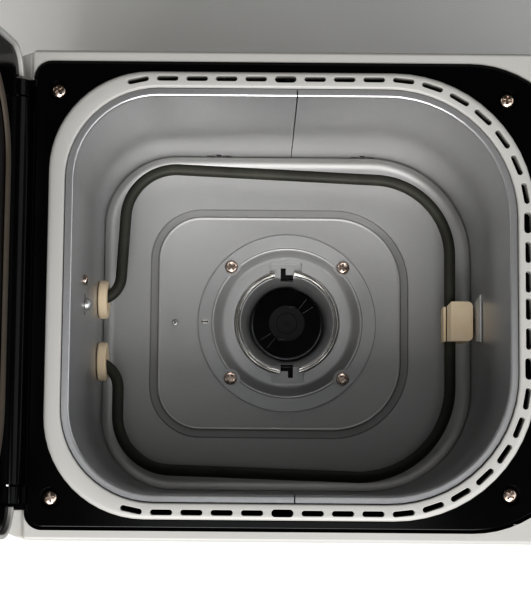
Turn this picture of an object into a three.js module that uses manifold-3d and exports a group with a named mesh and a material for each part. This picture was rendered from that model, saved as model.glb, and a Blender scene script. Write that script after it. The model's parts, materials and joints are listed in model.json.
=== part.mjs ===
// Household bread machine, lid open on its stop and bread pan taken out.
// Millimetres, +Z up. The front with the control panel faces -Y, the lid is hinged at the back (+Y),
// and +X is the machine's right-hand side. Everything is placed around the vertical drive axis, which
// is X = Y = 0, standing on Z = 0; the last lines move the origin to the middle of the footprint.

import * as THREE from 'three';
import { mergeVertices } from 'three/addons/utils/BufferGeometryUtils.js';
import Module from 'manifold-3d';

const wasm = await Module();
wasm.setup();

// ---------------------------------------------------------------- driving dimensions

const GAP = 0.3;              // left between neighbouring pieces that touch
const LOOSE = 0.4;            // left around a piece that drops into a cut-out

const FOOT_HEIGHT = 5.7;
const BASE_Z = 6;             // underside of the base plate and lower edge of the housing
const RIM_Z = 232;            // rim of the baking chamber and face of the deck
const CHAMBER_DEPTH = 165;
const FLOOR_Z = RIM_Z - CHAMBER_DEPTH;

// Outlines seen from above: half width, front and back edges, and the radii of the corner pairs.
const CHAMBER = { x: 98.5, front: -108, back: 108, rFront: 60, rBack: 42 };
const BEZEL = { x: 110.9, front: -120.7, back: 120.3, rFront: 70, rBack: 50 };
const DECK = { x: 114.5, front: -141.8, back: 127, rFront: 53, rBack: 7 };
const BODY = { x: 121.5, front: -217, back: 150, rFront: 38, rBack: 26 };
const LID = { x: 120, front: -145, back: 136, rFront: 58, rBack: 16 };
const LINER = { x: 99, front: -107, back: 107, rFront: 58, rBack: 40 };
const WINDOW = { x: 62, front: -52, back: 40, rFront: 14, rBack: 14 };

const WALL = 2.5;             // plastic mouldings
const SHEET = 1;              // chamber sheet metal
const FLANGE_WIDTH = 3.9;     // turned-out rim of the chamber
const DECK_THICKNESS = 4;
const DECK_CHAMFER = 1.5;
const HOUSING_RIM_Z = RIM_Z + 1;
const TROUGH_Z = RIM_Z - 3;   // low step behind the deck, under the hinge
const DECK_SCREWS = [[-100.9, 116.3], [100.9, 116.3], [-97.8, -107.4], [97.8, -107.4]];
const FEET = { foot_front_left: [-96, -184], foot_front_right: [96, -184],
  foot_back_left: [-96, 122], foot_back_right: [96, 122] };

const HINGE = { y: 137, z: RIM_Z + 8, barrelR: 8, barrelHalf: 94.5, pinR: 2.5, earX: 95.5, earWide: 8 };
const HINGE_BED = { x: 106.6, back: 147, thick: 1 };
const LID_OPEN_DEG = 98;
const LID_BOTTOM_Z = 234.8;
const LID_TOP_Z = 274;
const LID_SCREW = { x: 70, y: -131 };

const SLOPE_TOP = { y: -147, z: 233 };
const SLOPE_FOOT = { y: -212, z: 191 };
const PANEL = { x: 98, y: 29, thick: 2.5, proud: 0.5, r: 10 };
const BUTTON_PROUD = 2;
const BOARD_DEPTH = 13.4;
const DISPLAY = { x: 0, y: 3, halfX: 33, halfY: 15 };
// Keys on the sloping panel, as [name, across, up the slope, half width, half height].
const KEYS = [
  ['menu_button', -82, 0, 8, 8], ['loaf_button', -54, 10.5, 9, 5], ['crust_button', -54, -10.5, 9, 5],
  ['timer_up_button', 54, 10.5, 9, 5], ['timer_down_button', 54, -10.5, 9, 5], ['start_button', 82, 0, 8, 8]];
const INLET = { x: 80, z: 46, halfX: 13.5, halfZ: 10, cavityX: 12.2, cavityZ: 8.4, flange: 4 };
const BACK_VENTS = { count: 8, pitch: 11, halfWidth: 1.7, low: 70, high: 112 };
const BASE_VENTS = { rows: 7, pitch: 12, halfWidth: 1.7, halfLength: 36 };

const SLOT = { pitch: 14.7, first: 6.7, perSide: 19, length: 10.4, width: 2.6, wide: 3.6, offset: 8.8 };
const WIDE_SLOTS = [2, 13];   // counted from the middle of the front

const ELEMENT_R = 3.2;
const ELEMENT_Z = RIM_Z - 132;
const INSULATOR = { r: 11, thick: 5.2, neckR: 6, xRight: 9.8, xLeft: -25.7 };
const SUPPORT = { x: -1.6, wide: 22.5, tubeY: -92.9 };
const BRACKET = { low: ELEMENT_Z - 12, high: ELEMENT_Z + 27, lowHalf: 9.6, highHalf: 13.3 };
const SENSOR = { x: 0.1, z: RIM_Z - 62, r: 3.4, screwX: 12.2, screwZ: RIM_Z - 54 };
const FLOOR_EDGE = 6.5;       // height of the floor's rounded turned-up edge
const FLOOR_SQUARE = { x: 67.5, front: -71.5, back: 80.5, rFront: 44, rBack: 30 };

const SOCKET = { r: 52.5, ringIn: 28, ringOut: 30.4, wellR: 20.5, seatZ: FLOOR_Z + 7 };
const SOCKET_SCREWS = [[-33, 33], [33, 33], [-33, -33], [33, -33]];
const COUPLING_R = 20.1;
const SHAFT_R = 5;
const CHASSIS_Z = 50;
const BELT_Z = 34;            // middle of the belt
const LARGE_PULLEY_R = 60;
const SMALL_PULLEY_R = 10;
const MOTOR_Y = -177;

const CORNER_STEPS = 5;       // facets round each corner of an outline

// ---------------------------------------------------------------- materials

function paint(color, roughness, metalness = 0) {
  return new THREE.MeshStandardMaterial({ color, roughness, metalness });
}

const material = {
  offWhite: paint(0xd8d7d0, 0.45),
  black: paint(0x0d0d0d, 0.15),
  softBlack: paint(0x1b1b1c, 0.55),
  chamberSteel: paint(0x96989e, 0.42, 0.9),
  floorSteel: paint(0x9b9b99, 0.45, 0.9),
  brightSteel: paint(0xc9c7c2, 0.18, 1),
  zincSteel: paint(0xa3a6a8, 0.4, 1),
  castGrey: paint(0xb1b1ae, 0.5, 0.4),
  screwNickel: paint(0xb9a796, 0.25, 1),
  heater: paint(0x3c3d35, 0.6, 0.3),
  ceramic: paint(0xcbb898, 0.7),
  rubber: paint(0x161616, 0.9),
  silicone: paint(0xb7b4ac, 0.7),
  glass: new THREE.MeshStandardMaterial({
    color: 0x2b2c2e, roughness: 0.08, transparent: true, opacity: 0.4,
  }),
  board: paint(0x1f5a34, 0.6),
  motorSteel: paint(0x6f7276, 0.45, 0.8),
  buttonGrey: paint(0xa9a9a6, 0.5),
};

// ---------------------------------------------------------------- making solids

const radians = (degrees) => (degrees * Math.PI) / 180;
const machine = new THREE.Group();

// A closed three.js geometry as a manifold solid, with its faces turned outwards.
function solid(geometry) {
  geometry.deleteAttribute('normal');
  geometry.deleteAttribute('uv');
  const merged = mergeVertices(geometry, 1e-3);
  const position = merged.attributes.position;
  const corner = [0, 1, 2].map(() => new THREE.Vector3());
  const triangles = [];
  let volume = 0;
  for (let i = 0; i < merged.index.count; i += 3) {
    const [a, b, c] = [0, 1, 2].map((k) => merged.index.getX(i + k));
    if (a === b || b === c || c === a) continue;
    [a, b, c].forEach((v, k) => corner[k].fromBufferAttribute(position, v));
    volume += corner[0].dot(corner[1].cross(corner[2]));
    triangles.push([a, b, c]);
  }
  if (volume < 0) triangles.forEach((t) => t.reverse());
  return new wasm.Manifold(new wasm.Mesh({
    numProp: 3,
    vertProperties: new Float32Array(position.array),
    triVerts: new Uint32Array(triangles.flat()),
  }));
}

function add(name, body, finish, parent = machine) {
  const { vertProperties, triVerts } = body.getMesh();
  const geometry = new THREE.BufferGeometry();
  geometry.setAttribute('position', new THREE.BufferAttribute(vertProperties, 3));
  geometry.setIndex(new THREE.BufferAttribute(triVerts, 1));
  geometry.computeVertexNormals();
  const mesh = new THREE.Mesh(geometry, finish);
  mesh.name = name;
  parent.add(mesh);
  return mesh;
}

function block(x0, x1, y0, y1, z0, z1) {
  const geometry = new THREE.BoxGeometry(x1 - x0, y1 - y0, z1 - z0);
  return solid(geometry.translate((x0 + x1) / 2, (y0 + y1) / 2, (z0 + z1) / 2));
}

// Upright round bar, or one lying along X or Y.
function rod(r, z0, z1, x = 0, y = 0, sides = 20) {
  const geometry = new THREE.CylinderGeometry(r, r, z1 - z0, sides).rotateX(Math.PI / 2);
  return solid(geometry.translate(x, y, (z0 + z1) / 2));
}

function rodAlongX(r, x0, x1, y, z, sides = 16) {
  const geometry = new THREE.CylinderGeometry(r, r, x1 - x0, sides).rotateZ(Math.PI / 2);
  return solid(geometry.translate((x0 + x1) / 2, y, z));
}

function rodAlongY(r, y0, y1, x, z, sides = 20) {
  const geometry = new THREE.CylinderGeometry(r, r, y1 - y0, sides);
  return solid(geometry.translate(x, (y0 + y1) / 2, z));
}

// A profile of [radius, height] points turned round the vertical axis.
function turned(profile, sides, x = 0, y = 0) {
  const points = profile.map(([r, z]) => new THREE.Vector2(r, z));
  const geometry = new THREE.LatheGeometry(points, sides).rotateX(Math.PI / 2);
  return solid(geometry.translate(x, y, 0));
}

function turnedRing(profile, sides, x = 0, y = 0) {
  return turned([...profile, profile[0]], sides, x, y);
}

function slab(shape, z0, z1, curveSegments = 4) {
  const geometry = new THREE.ExtrudeGeometry(shape, { depth: z1 - z0, bevelEnabled: false, curveSegments });
  return solid(geometry.translate(0, 0, z0));
}

// Points of a rounded outline, grown by `grow`, always with the same number of points.
function loop(outline, grow, z) {
  const pair = (r) => Math.max(r + grow, 1.5);
  const [rb, rf] = [pair(outline.rBack), pair(outline.rFront)];
  const x = outline.x + grow;
  const back = outline.back + grow;
  const front = outline.front - grow;
  const corners = [
    [x - rb, back - rb, rb], [rb - x, back - rb, rb], [rf - x, front + rf, rf], [x - rf, front + rf, rf]];
  return corners.flatMap(([cx, cy, r], quarter) => Array.from({ length: CORNER_STEPS + 1 }, (_, k) => {
    const angle = radians(90 * (quarter + k / CORNER_STEPS));
    return [cx + r * Math.cos(angle), cy + r * Math.sin(angle), z];
  }));
}

// A solid through a row of loops: capped at both ends, or joined into a ring.
function loft(loops, ring) {
  const n = loops[0].length;
  const index = [];
  const last = ring ? loops.length : loops.length - 1;
  for (let i = 0; i < last; i++) {
    const next = (i + 1) % loops.length;
    for (let j = 0; j < n; j++) {
      const k = (j + 1) % n;
      index.push(i * n + j, i * n + k, next * n + k, i * n + j, next * n + k, next * n + j);
    }
  }
  if (!ring) {
    const rim = loops[0].map(([x, y]) => new THREE.Vector2(x, y));
    const cap = THREE.ShapeUtils.triangulateShape(rim, []);
    const end = (loops.length - 1) * n;
    cap.forEach(([a, b, c]) => index.push(a, c, b, end + a, end + b, end + c));
  }
  const geometry = new THREE.BufferGeometry();
  geometry.setAttribute('position', new THREE.Float32BufferAttribute(loops.flat(2), 3));
  geometry.setIndex(index);
  return solid(geometry);
}

// Rounded rectangle or capsule as a flat shape.
function roundedRect(halfX, halfY, r, cx = 0, cy = 0) {
  const shape = new THREE.Shape();
  shape.moveTo(cx + halfX - r, cy - halfY);
  shape.absarc(cx + halfX - r, cy - halfY + r, r, radians(-90), 0);
  shape.absarc(cx + halfX - r, cy + halfY - r, r, 0, radians(90));
  shape.absarc(cx - halfX + r, cy + halfY - r, r, radians(90), radians(180));
  shape.absarc(cx - halfX + r, cy - halfY + r, r, radians(180), radians(270));
  shape.closePath();
  return shape;
}

// Place and heading at a distance along an outline, counted from the middle of the front towards +X.
function along(outline, grow, distance) {
  const rf = outline.rFront + grow;
  const rb = outline.rBack + grow;
  const flat = outline.x - outline.rFront;
  const side = (outline.back - outline.rBack) - (outline.front + outline.rFront);
  const bend = (rf * Math.PI) / 2;
  if (distance < flat) return { x: distance, y: outline.front - grow, heading: 0 };
  let rest = distance - flat;
  if (rest < bend) {
    const turn = rest / rf;
    const y = outline.front + outline.rFront - rf * Math.cos(turn);
    return { x: flat + rf * Math.sin(turn), y, heading: turn };
  }
  rest -= bend;
  if (rest < side) {
    return { x: outline.x + grow, y: outline.front + outline.rFront + rest, heading: Math.PI / 2 };
  }
  const turn = (rest - side) / rb;
  return {
    x: outline.x - outline.rBack + rb * Math.cos(turn),
    y: outline.back - outline.rBack + rb * Math.sin(turn),
    heading: Math.PI / 2 + turn,
  };
}

// ---------------------------------------------------------------- casing

const slopeAngle = Math.atan2(SLOPE_TOP.z - SLOPE_FOOT.z, SLOPE_TOP.y - SLOPE_FOOT.y);
const panelPlace = new THREE.Group();
panelPlace.position.set(0, (SLOPE_TOP.y + SLOPE_FOOT.y) / 2, (SLOPE_TOP.z + SLOPE_FOOT.z) / 2);
panelPlace.rotation.x = slopeAngle;
panelPlace.updateMatrix();
machine.add(panelPlace);

// The housing seen from the side, `inset` inside its skin, as a slab running across the machine.
function sideSlab(inset, halfWidth, edge) {
  const low = BASE_Z - 20;
  const back = BODY.back - inset;
  const front = BODY.front + inset;
  const shape = new THREE.Shape();
  shape.moveTo(front, low);
  shape.lineTo(back, low);
  shape.lineTo(back, TROUGH_Z - 6);
  shape.quadraticCurveTo(back, TROUGH_Z - inset, back - 6, TROUGH_Z - inset);
  shape.lineTo(DECK.back + 2.5 - inset, TROUGH_Z - inset);
  shape.lineTo(DECK.back + 2.5 - inset, HOUSING_RIM_Z - inset);
  shape.lineTo(SLOPE_TOP.y + inset / 2, SLOPE_TOP.z - inset);
  shape.lineTo(SLOPE_FOOT.y + inset / 2, SLOPE_FOOT.z - inset);
  shape.quadraticCurveTo(front, SLOPE_FOOT.z - 4 - inset, front, SLOPE_FOOT.z - 14);
  shape.closePath();
  const geometry = new THREE.ExtrudeGeometry(shape, {
    depth: 2 * (halfWidth - edge), bevelEnabled: edge > 0, bevelThickness: edge, bevelSize: edge,
    bevelOffset: -edge, bevelSegments: 2, curveSegments: 4,
  });
  geometry.translate(0, 0, edge - halfWidth);
  const across = new THREE.Matrix4().makeBasis(
    new THREE.Vector3(0, 1, 0), new THREE.Vector3(0, 0, 1), new THREE.Vector3(1, 0, 0));
  return solid(geometry.applyMatrix4(across));
}

function housingShell() {
  const skin = loft([loop(BODY, 0, BASE_Z), loop(BODY, 0, HOUSING_RIM_Z + 9)], false);
  const hollow = loft([loop(BODY, -WALL, BASE_Z - 9), loop(BODY, -WALL, HOUSING_RIM_Z + 9)], false);
  let body = skin.intersect(sideSlab(0, BODY.x, 3));
  body = body.subtract(hollow.intersect(sideSlab(WALL, BODY.x, 0)));
  const mouth = loft([
    loop(DECK, DECK_CHAMFER + LOOSE, RIM_Z - 12), loop(DECK, DECK_CHAMFER + LOOSE, RIM_Z + 9)], false);
  body = body.subtract(mouth);
  const panelCut = roundedRect(PANEL.x + LOOSE, PANEL.y + LOOSE, PANEL.r);
  const cutter = new THREE.ExtrudeGeometry(panelCut, { depth: 40, bevelEnabled: false, curveSegments: 4 });
  body = body.subtract(solid(cutter.translate(0, 0, -20).applyMatrix4(panelPlace.matrix)));
  body = body.subtract(block(-HINGE_BED.x - LOOSE, HINGE_BED.x + LOOSE, DECK.back - 1, HINGE_BED.back + LOOSE,
    TROUGH_Z - HINGE_BED.thick - GAP, RIM_Z + 20));
  const [inX, inZ] = [INLET.halfX + GAP, INLET.halfZ + GAP];
  body = body.subtract(block(INLET.x - inX, INLET.x + inX, BODY.back - 9, BODY.back + 9,
    INLET.z - inZ, INLET.z + inZ));
  for (let i = 0; i < BACK_VENTS.count; i++) {
    const x = (i - BACK_VENTS.count / 2) * BACK_VENTS.pitch;
    body = body.subtract(block(x - BACK_VENTS.halfWidth, x + BACK_VENTS.halfWidth, BODY.back - 9,
      BODY.back + 9, BACK_VENTS.low, BACK_VENTS.high));
  }
  return body;
}

function basePlate() {
  let plate = loft([loop(BODY, -WALL - LOOSE, BASE_Z), loop(BODY, -WALL - LOOSE, BASE_Z + WALL)], false);
  const { rows, pitch, halfWidth, halfLength } = BASE_VENTS;
  for (let row = 0; row < rows; row++) {
    const y = (row - (rows - 1) / 2) * pitch;
    plate = plate.subtract(block(-halfLength, halfLength, y - halfWidth, y + halfWidth, 0, 20));
  }
  return plate;
}

function footPad() {
  return turned([[0, 0], [8.5, 0], [10, 1.5], [9, FOOT_HEIGHT], [0, FOOT_HEIGHT]], 16);
}

function hingeEar(side) {
  const x0 = side > 0 ? HINGE.earX : -HINGE.earX - HINGE.earWide;
  const x1 = x0 + HINGE.earWide;
  const round = HINGE.barrelR - 0.5;
  return block(x0, x1, HINGE.y - round, HINGE.y + round, TROUGH_Z - HINGE_BED.thick, HINGE.z)
    .add(rodAlongX(round, x0, x1, HINGE.y, HINGE.z));
}

// The black deck round the chamber, with the bed and the two ears of the lid hinge behind it.
function topDeck() {
  const low = RIM_Z - DECK_THICKNESS;
  let deck = loft([
    loop(DECK, DECK_CHAMFER, low), loop(DECK, DECK_CHAMFER, RIM_Z - DECK_CHAMFER), loop(DECK, 0, RIM_Z),
    loop(BEZEL, LOOSE, RIM_Z), loop(BEZEL, LOOSE, low)], true);
  for (const [x, y] of DECK_SCREWS) {
    deck = deck.subtract(rod(4.6, RIM_Z - 2.3, RIM_Z + 5, x, y, 12));
    deck = deck.subtract(rod(2.3, low - 5, RIM_Z, x, y, 8));
  }
  deck = deck.add(block(-HINGE_BED.x, HINGE_BED.x, DECK.back - 1, HINGE_BED.back,
    TROUGH_Z - HINGE_BED.thick, TROUGH_Z));
  for (const side of [-1, 1]) deck = deck.add(hingeEar(side));
  return deck.subtract(rodAlongX(HINGE.pinR + GAP, -110, 110, HINGE.y, HINGE.z));
}

// Pan-head screw hanging from the underside of its head at Z = 0.
function panScrew(length, headR = 3.5, shankR = 1.9) {
  return turned([[0, -length], [shankR, -length], [shankR, 0], [headR, 0], [headR, 0.9], [headR * 0.6, 2.2],
    [0, 2.2]], 10);
}

add('housing_shell', housingShell(), material.offWhite);
add('base_plate', basePlate(), material.softBlack);
for (const [name, [x, y]] of Object.entries(FEET)) {
  add(name, footPad(), material.rubber).position.set(x, y, 0);
}
add('top_deck', topDeck(), material.black);
DECK_SCREWS.forEach(([x, y], i) => {
  add(`deck_screw_${i + 1}`, panScrew(9), material.screwNickel).position.set(x, y, RIM_Z - 2);
});

// ---------------------------------------------------------------- baking chamber

function chamberBezel() {
  const low = RIM_Z - 5;
  let ring = loft([
    loop(CHAMBER, FLANGE_WIDTH + LOOSE, low), loop(CHAMBER, FLANGE_WIDTH + LOOSE, RIM_Z + 1.5),
    loop(CHAMBER, FLANGE_WIDTH + 1.2, RIM_Z + 2.2), loop(BEZEL, -1.6, RIM_Z + 2.2),
    loop(BEZEL, 0, RIM_Z + 0.9), loop(BEZEL, 0, low)], true);
  for (let k = 0; k < SLOT.perSide; k++) {
    const place = along(CHAMBER, SLOT.offset, SLOT.first + SLOT.pitch * k);
    const width = WIDE_SLOTS.includes(k) ? SLOT.wide : SLOT.width;
    for (const side of [-1, 1]) {
      const cutter = new THREE.BoxGeometry(SLOT.length, width, 20);
      cutter.rotateZ(side * place.heading).translate(side * place.x, place.y, RIM_Z);
      ring = ring.subtract(solid(cutter));
    }
  }
  return ring;
}

// Both halves of the wall come from one bent band with a turned-out rim.
function chamberBand() {
  const foot = FLOOR_Z - 2;
  return loft([
    loop(CHAMBER, 0, foot), loop(CHAMBER, 0, RIM_Z), loop(CHAMBER, FLANGE_WIDTH, RIM_Z),
    loop(CHAMBER, FLANGE_WIDTH, RIM_Z - SHEET), loop(CHAMBER, SHEET, RIM_Z - SHEET),
    loop(CHAMBER, SHEET, foot)], true);
}

function chamberWallRear() {
  let wall = chamberBand().subtract(block(-200, 200, -200, GAP / 2, 0, 400));
  for (const x of [INSULATOR.xRight, INSULATOR.xLeft]) {
    wall = wall.subtract(rodAlongY(INSULATOR.neckR + GAP, 90, 120, x, ELEMENT_Z, 16));
  }
  wall = wall.subtract(rodAlongY(SENSOR.r * 0.7, 90, 120, SENSOR.x, SENSOR.z, 12));
  return wall.subtract(rodAlongY(2, 90, 120, SENSOR.screwX, SENSOR.screwZ, 12));
}

// Pressed floor: a tray with a rounded turned-up edge, a raised square and a hole for the drive socket.
function chamberFloor() {
  const top = FLOOR_Z + FLOOR_EDGE;
  const under = FLOOR_Z - 1.2;
  const outer = loft([loop(CHAMBER, -FLOOR_EDGE, under), loop(CHAMBER, -2.2, under + 2),
    loop(CHAMBER, -GAP, top - 1), loop(CHAMBER, -GAP, top)], false);
  const inner = loft([loop(CHAMBER, -FLOOR_EDGE - 0.6, FLOOR_Z), loop(CHAMBER, -3.6, FLOOR_Z + 1.7),
    loop(CHAMBER, -1.6, FLOOR_Z + 4.6), loop(CHAMBER, -1.3, top + 1)], false);
  const raised = loft([loop(FLOOR_SQUARE, 0, under + 0.2), loop(FLOOR_SQUARE, 0, FLOOR_Z + 0.2),
    loop(FLOOR_SQUARE, -4.5, FLOOR_Z + 2)], false);
  let floor = outer.subtract(inner).add(raised).subtract(rod(26.5, 0, 200, 0, 0, 32));
  for (const [x, y] of SOCKET_SCREWS) floor = floor.subtract(rod(2.3, 0, 200, x, y, 8));
  return floor;
}

// Centre line of the heating rod: straight through each insulator and bent round the chamber.
function elementPath() {
  const corners = [
    [INSULATOR.xRight, 121, 0], [INSULATOR.xRight, 96.2, 9.5], [87, 91.8, 29], [78.6, SUPPORT.tubeY, 44],
    [-91.6, SUPPORT.tubeY, 52], [-86, 96.2, 31], [INSULATOR.xLeft, 96.2, 9.5], [INSULATOR.xLeft, 121, 0]];
  const point = ([x, y]) => new THREE.Vector3(x, y, ELEMENT_Z);
  const path = new THREE.CurvePath();
  let from = point(corners[0]);
  for (let i = 1; i < corners.length - 1; i++) {
    const [before, at, after] = corners.slice(i - 1, i + 2).map(point);
    const back = before.sub(at).normalize();
    const on = after.sub(at).normalize();
    const half = back.angleTo(on) / 2;
    const cut = corners[i][2] / Math.tan(half);
    const start = at.clone().addScaledVector(back, cut);
    const end = at.clone().addScaledVector(on, cut);
    // a cubic whose handles make it a close match to the circular bend
    const reach = (4 / 3) * Math.tan((Math.PI / 2 - half) / 2) * corners[i][2];
    path.add(new THREE.LineCurve3(from, start));
    path.add(new THREE.CubicBezierCurve3(start, start.clone().addScaledVector(back, -reach),
      end.clone().addScaledVector(on, -reach), end));
    from = end;
  }
  path.add(new THREE.LineCurve3(from, point(corners[corners.length - 1])));
  return path;
}

function heatingElement() {
  const section = new THREE.Shape().absarc(0, 0, ELEMENT_R, 0, 2 * Math.PI);
  const sweep = { steps: 72, curveSegments: 4, extrudePath: elementPath() };
  return solid(new THREE.ExtrudeGeometry(section, sweep));
}

// Ceramic bush: a round head against the wall and a neck through it, bored for the rod.
function insulator(x) {
  const face = CHAMBER.back - GAP;
  const head = rodAlongY(INSULATOR.r, face - INSULATOR.thick, face, x, ELEMENT_Z, 24);
  const neck = rodAlongY(INSULATOR.neckR, face - 1, face + 7, x, ELEMENT_Z, 16);
  const bore = ELEMENT_R + 0.5;
  const mouth = new THREE.CylinderGeometry(bore, bore + 2.6, INSULATOR.thick + 0.5, 16);
  mouth.translate(x, face - INSULATOR.thick / 2 - 0.25, ELEMENT_Z);
  return head.add(neck).subtract(rodAlongY(bore, 90, 130, x, ELEMENT_Z, 16)).subtract(solid(mouth));
}

// Ceramic block that carries the rod at the front: bored across, with a slit left open above the bore.
function elementSupport() {
  const { x, wide, tubeY } = SUPPORT;
  const z = ELEMENT_Z;
  let body = block(x - wide / 2, x + wide / 2, tubeY - 12.8, tubeY + 3.4, z - 11, z + 9);
  body = body.add(block(x - wide / 2, x + wide / 2 - 2, tubeY + 2, tubeY + 5.4, z - 11, z + 4));
  body = body.subtract(rodAlongX(ELEMENT_R + 0.4, x - 30, x + 30, tubeY, z));
  return body.subtract(block(x - 30, x + 30, tubeY + 3, tubeY + 3.8, z, z + 30));
}

// Sheet tongue behind the ceramic block, widening towards the top.
function supportBracket() {
  const { low, high, lowHalf, highHalf } = BRACKET;
  const shape = new THREE.Shape();
  shape.moveTo(-lowHalf, low);
  shape.lineTo(lowHalf, low);
  shape.lineTo(highHalf, high);
  shape.lineTo(-highHalf, high);
  shape.closePath();
  const geometry = new THREE.ExtrudeGeometry(shape, { depth: SHEET, bevelEnabled: false });
  geometry.rotateX(Math.PI / 2).translate(SUPPORT.x, CHAMBER.front + GAP + SHEET, 0);
  return solid(geometry);
}

// Domed capsule that reads the chamber's temperature, with the plate it is mounted on.
function temperatureSensor() {
  const wall = CHAMBER.back;
  const dome = turned([[0, 4], [SENSOR.r * 0.75, 3.1], [SENSOR.r, 1.2], [SENSOR.r, GAP], [0, GAP]], 16);
  const stem = turned([[0, -5], [2, -5], [2, GAP + 1], [0, GAP + 1]], 10);
  return dome.add(stem).rotate([90, 0, 0]).translate([SENSOR.x, wall, SENSOR.z]);
}

function thermalFuse() {
  const y = CHAMBER.front - SHEET - 5;
  return rodAlongX(4, 28, 54, y, RIM_Z - 100, 12).add(rodAlongX(1, 20, 62, y, RIM_Z - 100, 8));
}

add('chamber_bezel', chamberBezel(), material.offWhite);
add('chamber_wall_rear', chamberWallRear(), material.chamberSteel);
const frontHalf = chamberBand().subtract(block(-200, 200, -GAP / 2, 200, 0, 400));
add('chamber_wall_front', frontHalf, material.chamberSteel);
add('chamber_floor', chamberFloor(), material.floorSteel);
add('heating_element', heatingElement(), material.heater);
add('element_insulator_right', insulator(INSULATOR.xRight), material.ceramic);
add('element_insulator_left', insulator(INSULATOR.xLeft), material.ceramic);
add('element_support', elementSupport(), material.ceramic);
add('support_bracket', supportBracket(), material.zincSteel);
add('temperature_sensor', temperatureSensor(), material.brightSteel);
const sensorScrew = add('sensor_screw', panScrew(5, 2.8, 1.5), material.screwNickel);
sensorScrew.rotation.x = Math.PI / 2;
sensorScrew.position.set(SENSOR.screwX, CHAMBER.back - GAP, SENSOR.screwZ);
add('thermal_fuse', thermalFuse(), material.brightSteel);

// ---------------------------------------------------------------- pan socket and drive

// Cast socket that the bread pan locks into: flange, scalloped seat, groove for the steel ring, well.
function socketBase() {
  const seat = SOCKET.seatZ;
  const disc = FLOOR_Z + 3.4;
  const under = FLOOR_Z + 2 + GAP;
  const groove = SOCKET.ringOut + GAP;
  let body = turnedRing([[SOCKET.wellR, 55], [26, 55], [26, under], [SOCKET.r, under], [SOCKET.r, disc - 0.4],
    [SOCKET.r - 0.5, disc], [43.8, disc], [43, disc + 2.2], [40, seat], [groove, seat], [groove, seat - 3.3],
    [SOCKET.ringIn - GAP, seat - 3.3], [SOCKET.ringIn - GAP, seat - 0.6], [SOCKET.ringIn - 1, seat - 0.6],
    [22.8, seat - 7.2], [SOCKET.wellR, seat - 7.6]], 28);
  for (const [x, y] of SOCKET_SCREWS) {
    body = body.subtract(rod(5.6, disc, 200, x, y, 12)).subtract(rod(2.3, 0, 200, x, y, 8));
  }
  for (const side of [-1, 1]) {
    const cut = (a, b, y0, y1, z0) => block(Math.min(side * a, side * b), Math.max(side * a, side * b),
      Math.min(side * y0, side * y1), Math.max(side * y0, side * y1), z0, 200);
    body = body.subtract(cut(29, 34.5, -9.7, 9.7, seat - 1.4));
    body = body.subtract(cut(26.4, 33.7, 2, 4, seat - 4.4)).subtract(cut(26.4, 29, -3, 4, seat - 4.4));
  }
  return body;
}

function socketRing() {
  const low = SOCKET.seatZ - 3;
  const ring = turnedRing([[SOCKET.ringIn, low], [SOCKET.ringOut, low], [SOCKET.ringOut, low + 3.6],
    [SOCKET.ringIn + 1.2, low + 4], [SOCKET.ringIn, low + 3.6]], 32);
  return ring.subtract(block(-50, 50, -5.4, 5.4, low + 1.2, 200));
}

// Drive dog: a cup with a raised hub and two notches that take the wings of the pan's coupling.
function driveCoupling() {
  const [low, step, top] = [60, 63.5, 68];
  const notched = new THREE.Shape();
  const notches = [[-57, -15], [123, 165]];
  notched.moveTo(COUPLING_R * Math.cos(radians(-15)), COUPLING_R * Math.sin(radians(-15)));
  notches.forEach(([, end], i) => {
    const next = notches[(i + 1) % 2];
    const reach = next[0] + (i === 1 ? 360 : 0);
    notched.absarc(0, 0, COUPLING_R, radians(end), radians(reach));
    notched.absarc(0, 0, 10.7, radians(reach), radians(reach + 42));
  });
  notched.closePath();
  return rod(COUPLING_R, low, step + 0.1, 0, 0, 28).add(slab(notched, step, top, 5))
    .add(rod(10.6, step, top + 0.6, 0, 0, 16)).subtract(rod(SHAFT_R + GAP, low - 5, 65, 0, 0, 16));
}

function shaftBearing() {
  const bore = SHAFT_R + 0.35;
  const top = CHASSIS_Z + 1.5 + GAP;
  return turnedRing([[bore, 43], [10, 43], [10, top], [17, top], [17, top + 2], [10, top + 2], [10, 58.5],
    [bore, 58.5]], 18);
}

// A belt pulley: flanged rim, thin web and a bored hub.
function pulley(rimR, hubR, boreR, y, sides) {
  const [low, high] = [BELT_Z - 7, BELT_Z + 7];
  if (rimR < 20) {
    return turnedRing([[boreR, low], [rimR + 3, low], [rimR + 3, low + 1.4], [rimR, low + 1.6],
      [rimR, high - 1.6], [rimR + 3, high - 1.4], [rimR + 3, high], [boreR, high]], sides, 0, y);
  }
  return turnedRing([[boreR, low], [hubR, low], [hubR, BELT_Z - 1.5], [rimR - 4, BELT_Z - 1.5],
    [rimR - 4, low], [rimR + 3, low], [rimR + 3, low + 1.4], [rimR, low + 1.6], [rimR, high - 1.6], [rimR + 3, high - 1.4],
    [rimR + 3, high], [rimR - 4, high], [rimR - 4, BELT_Z + 1.5], [hubR, BELT_Z + 1.5], [hubR, high],
    [boreR, high]], sides, 0, y);
}

// Outline of the belt at a distance outside the pulleys' grooves.
function beltOutline(out) {
  const [big, small] = [LARGE_PULLEY_R + out, SMALL_PULLEY_R + out];
  const wrap = Math.acos((big - small) / -MOTOR_Y);
  const shape = new THREE.Shape();
  shape.absarc(0, 0, big, -Math.PI / 2 + wrap, (3 * Math.PI) / 2 - wrap);
  shape.absarc(0, MOTOR_Y, small, (3 * Math.PI) / 2 - wrap, (3 * Math.PI) / 2 + wrap);
  shape.closePath();
  return shape;
}

function driveBelt() {
  const outside = slab(beltOutline(3.2), BELT_Z - 5, BELT_Z + 5, 11);
  return outside.subtract(slab(beltOutline(0.5), BELT_Z - 9, BELT_Z + 9, 11));
}

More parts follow.
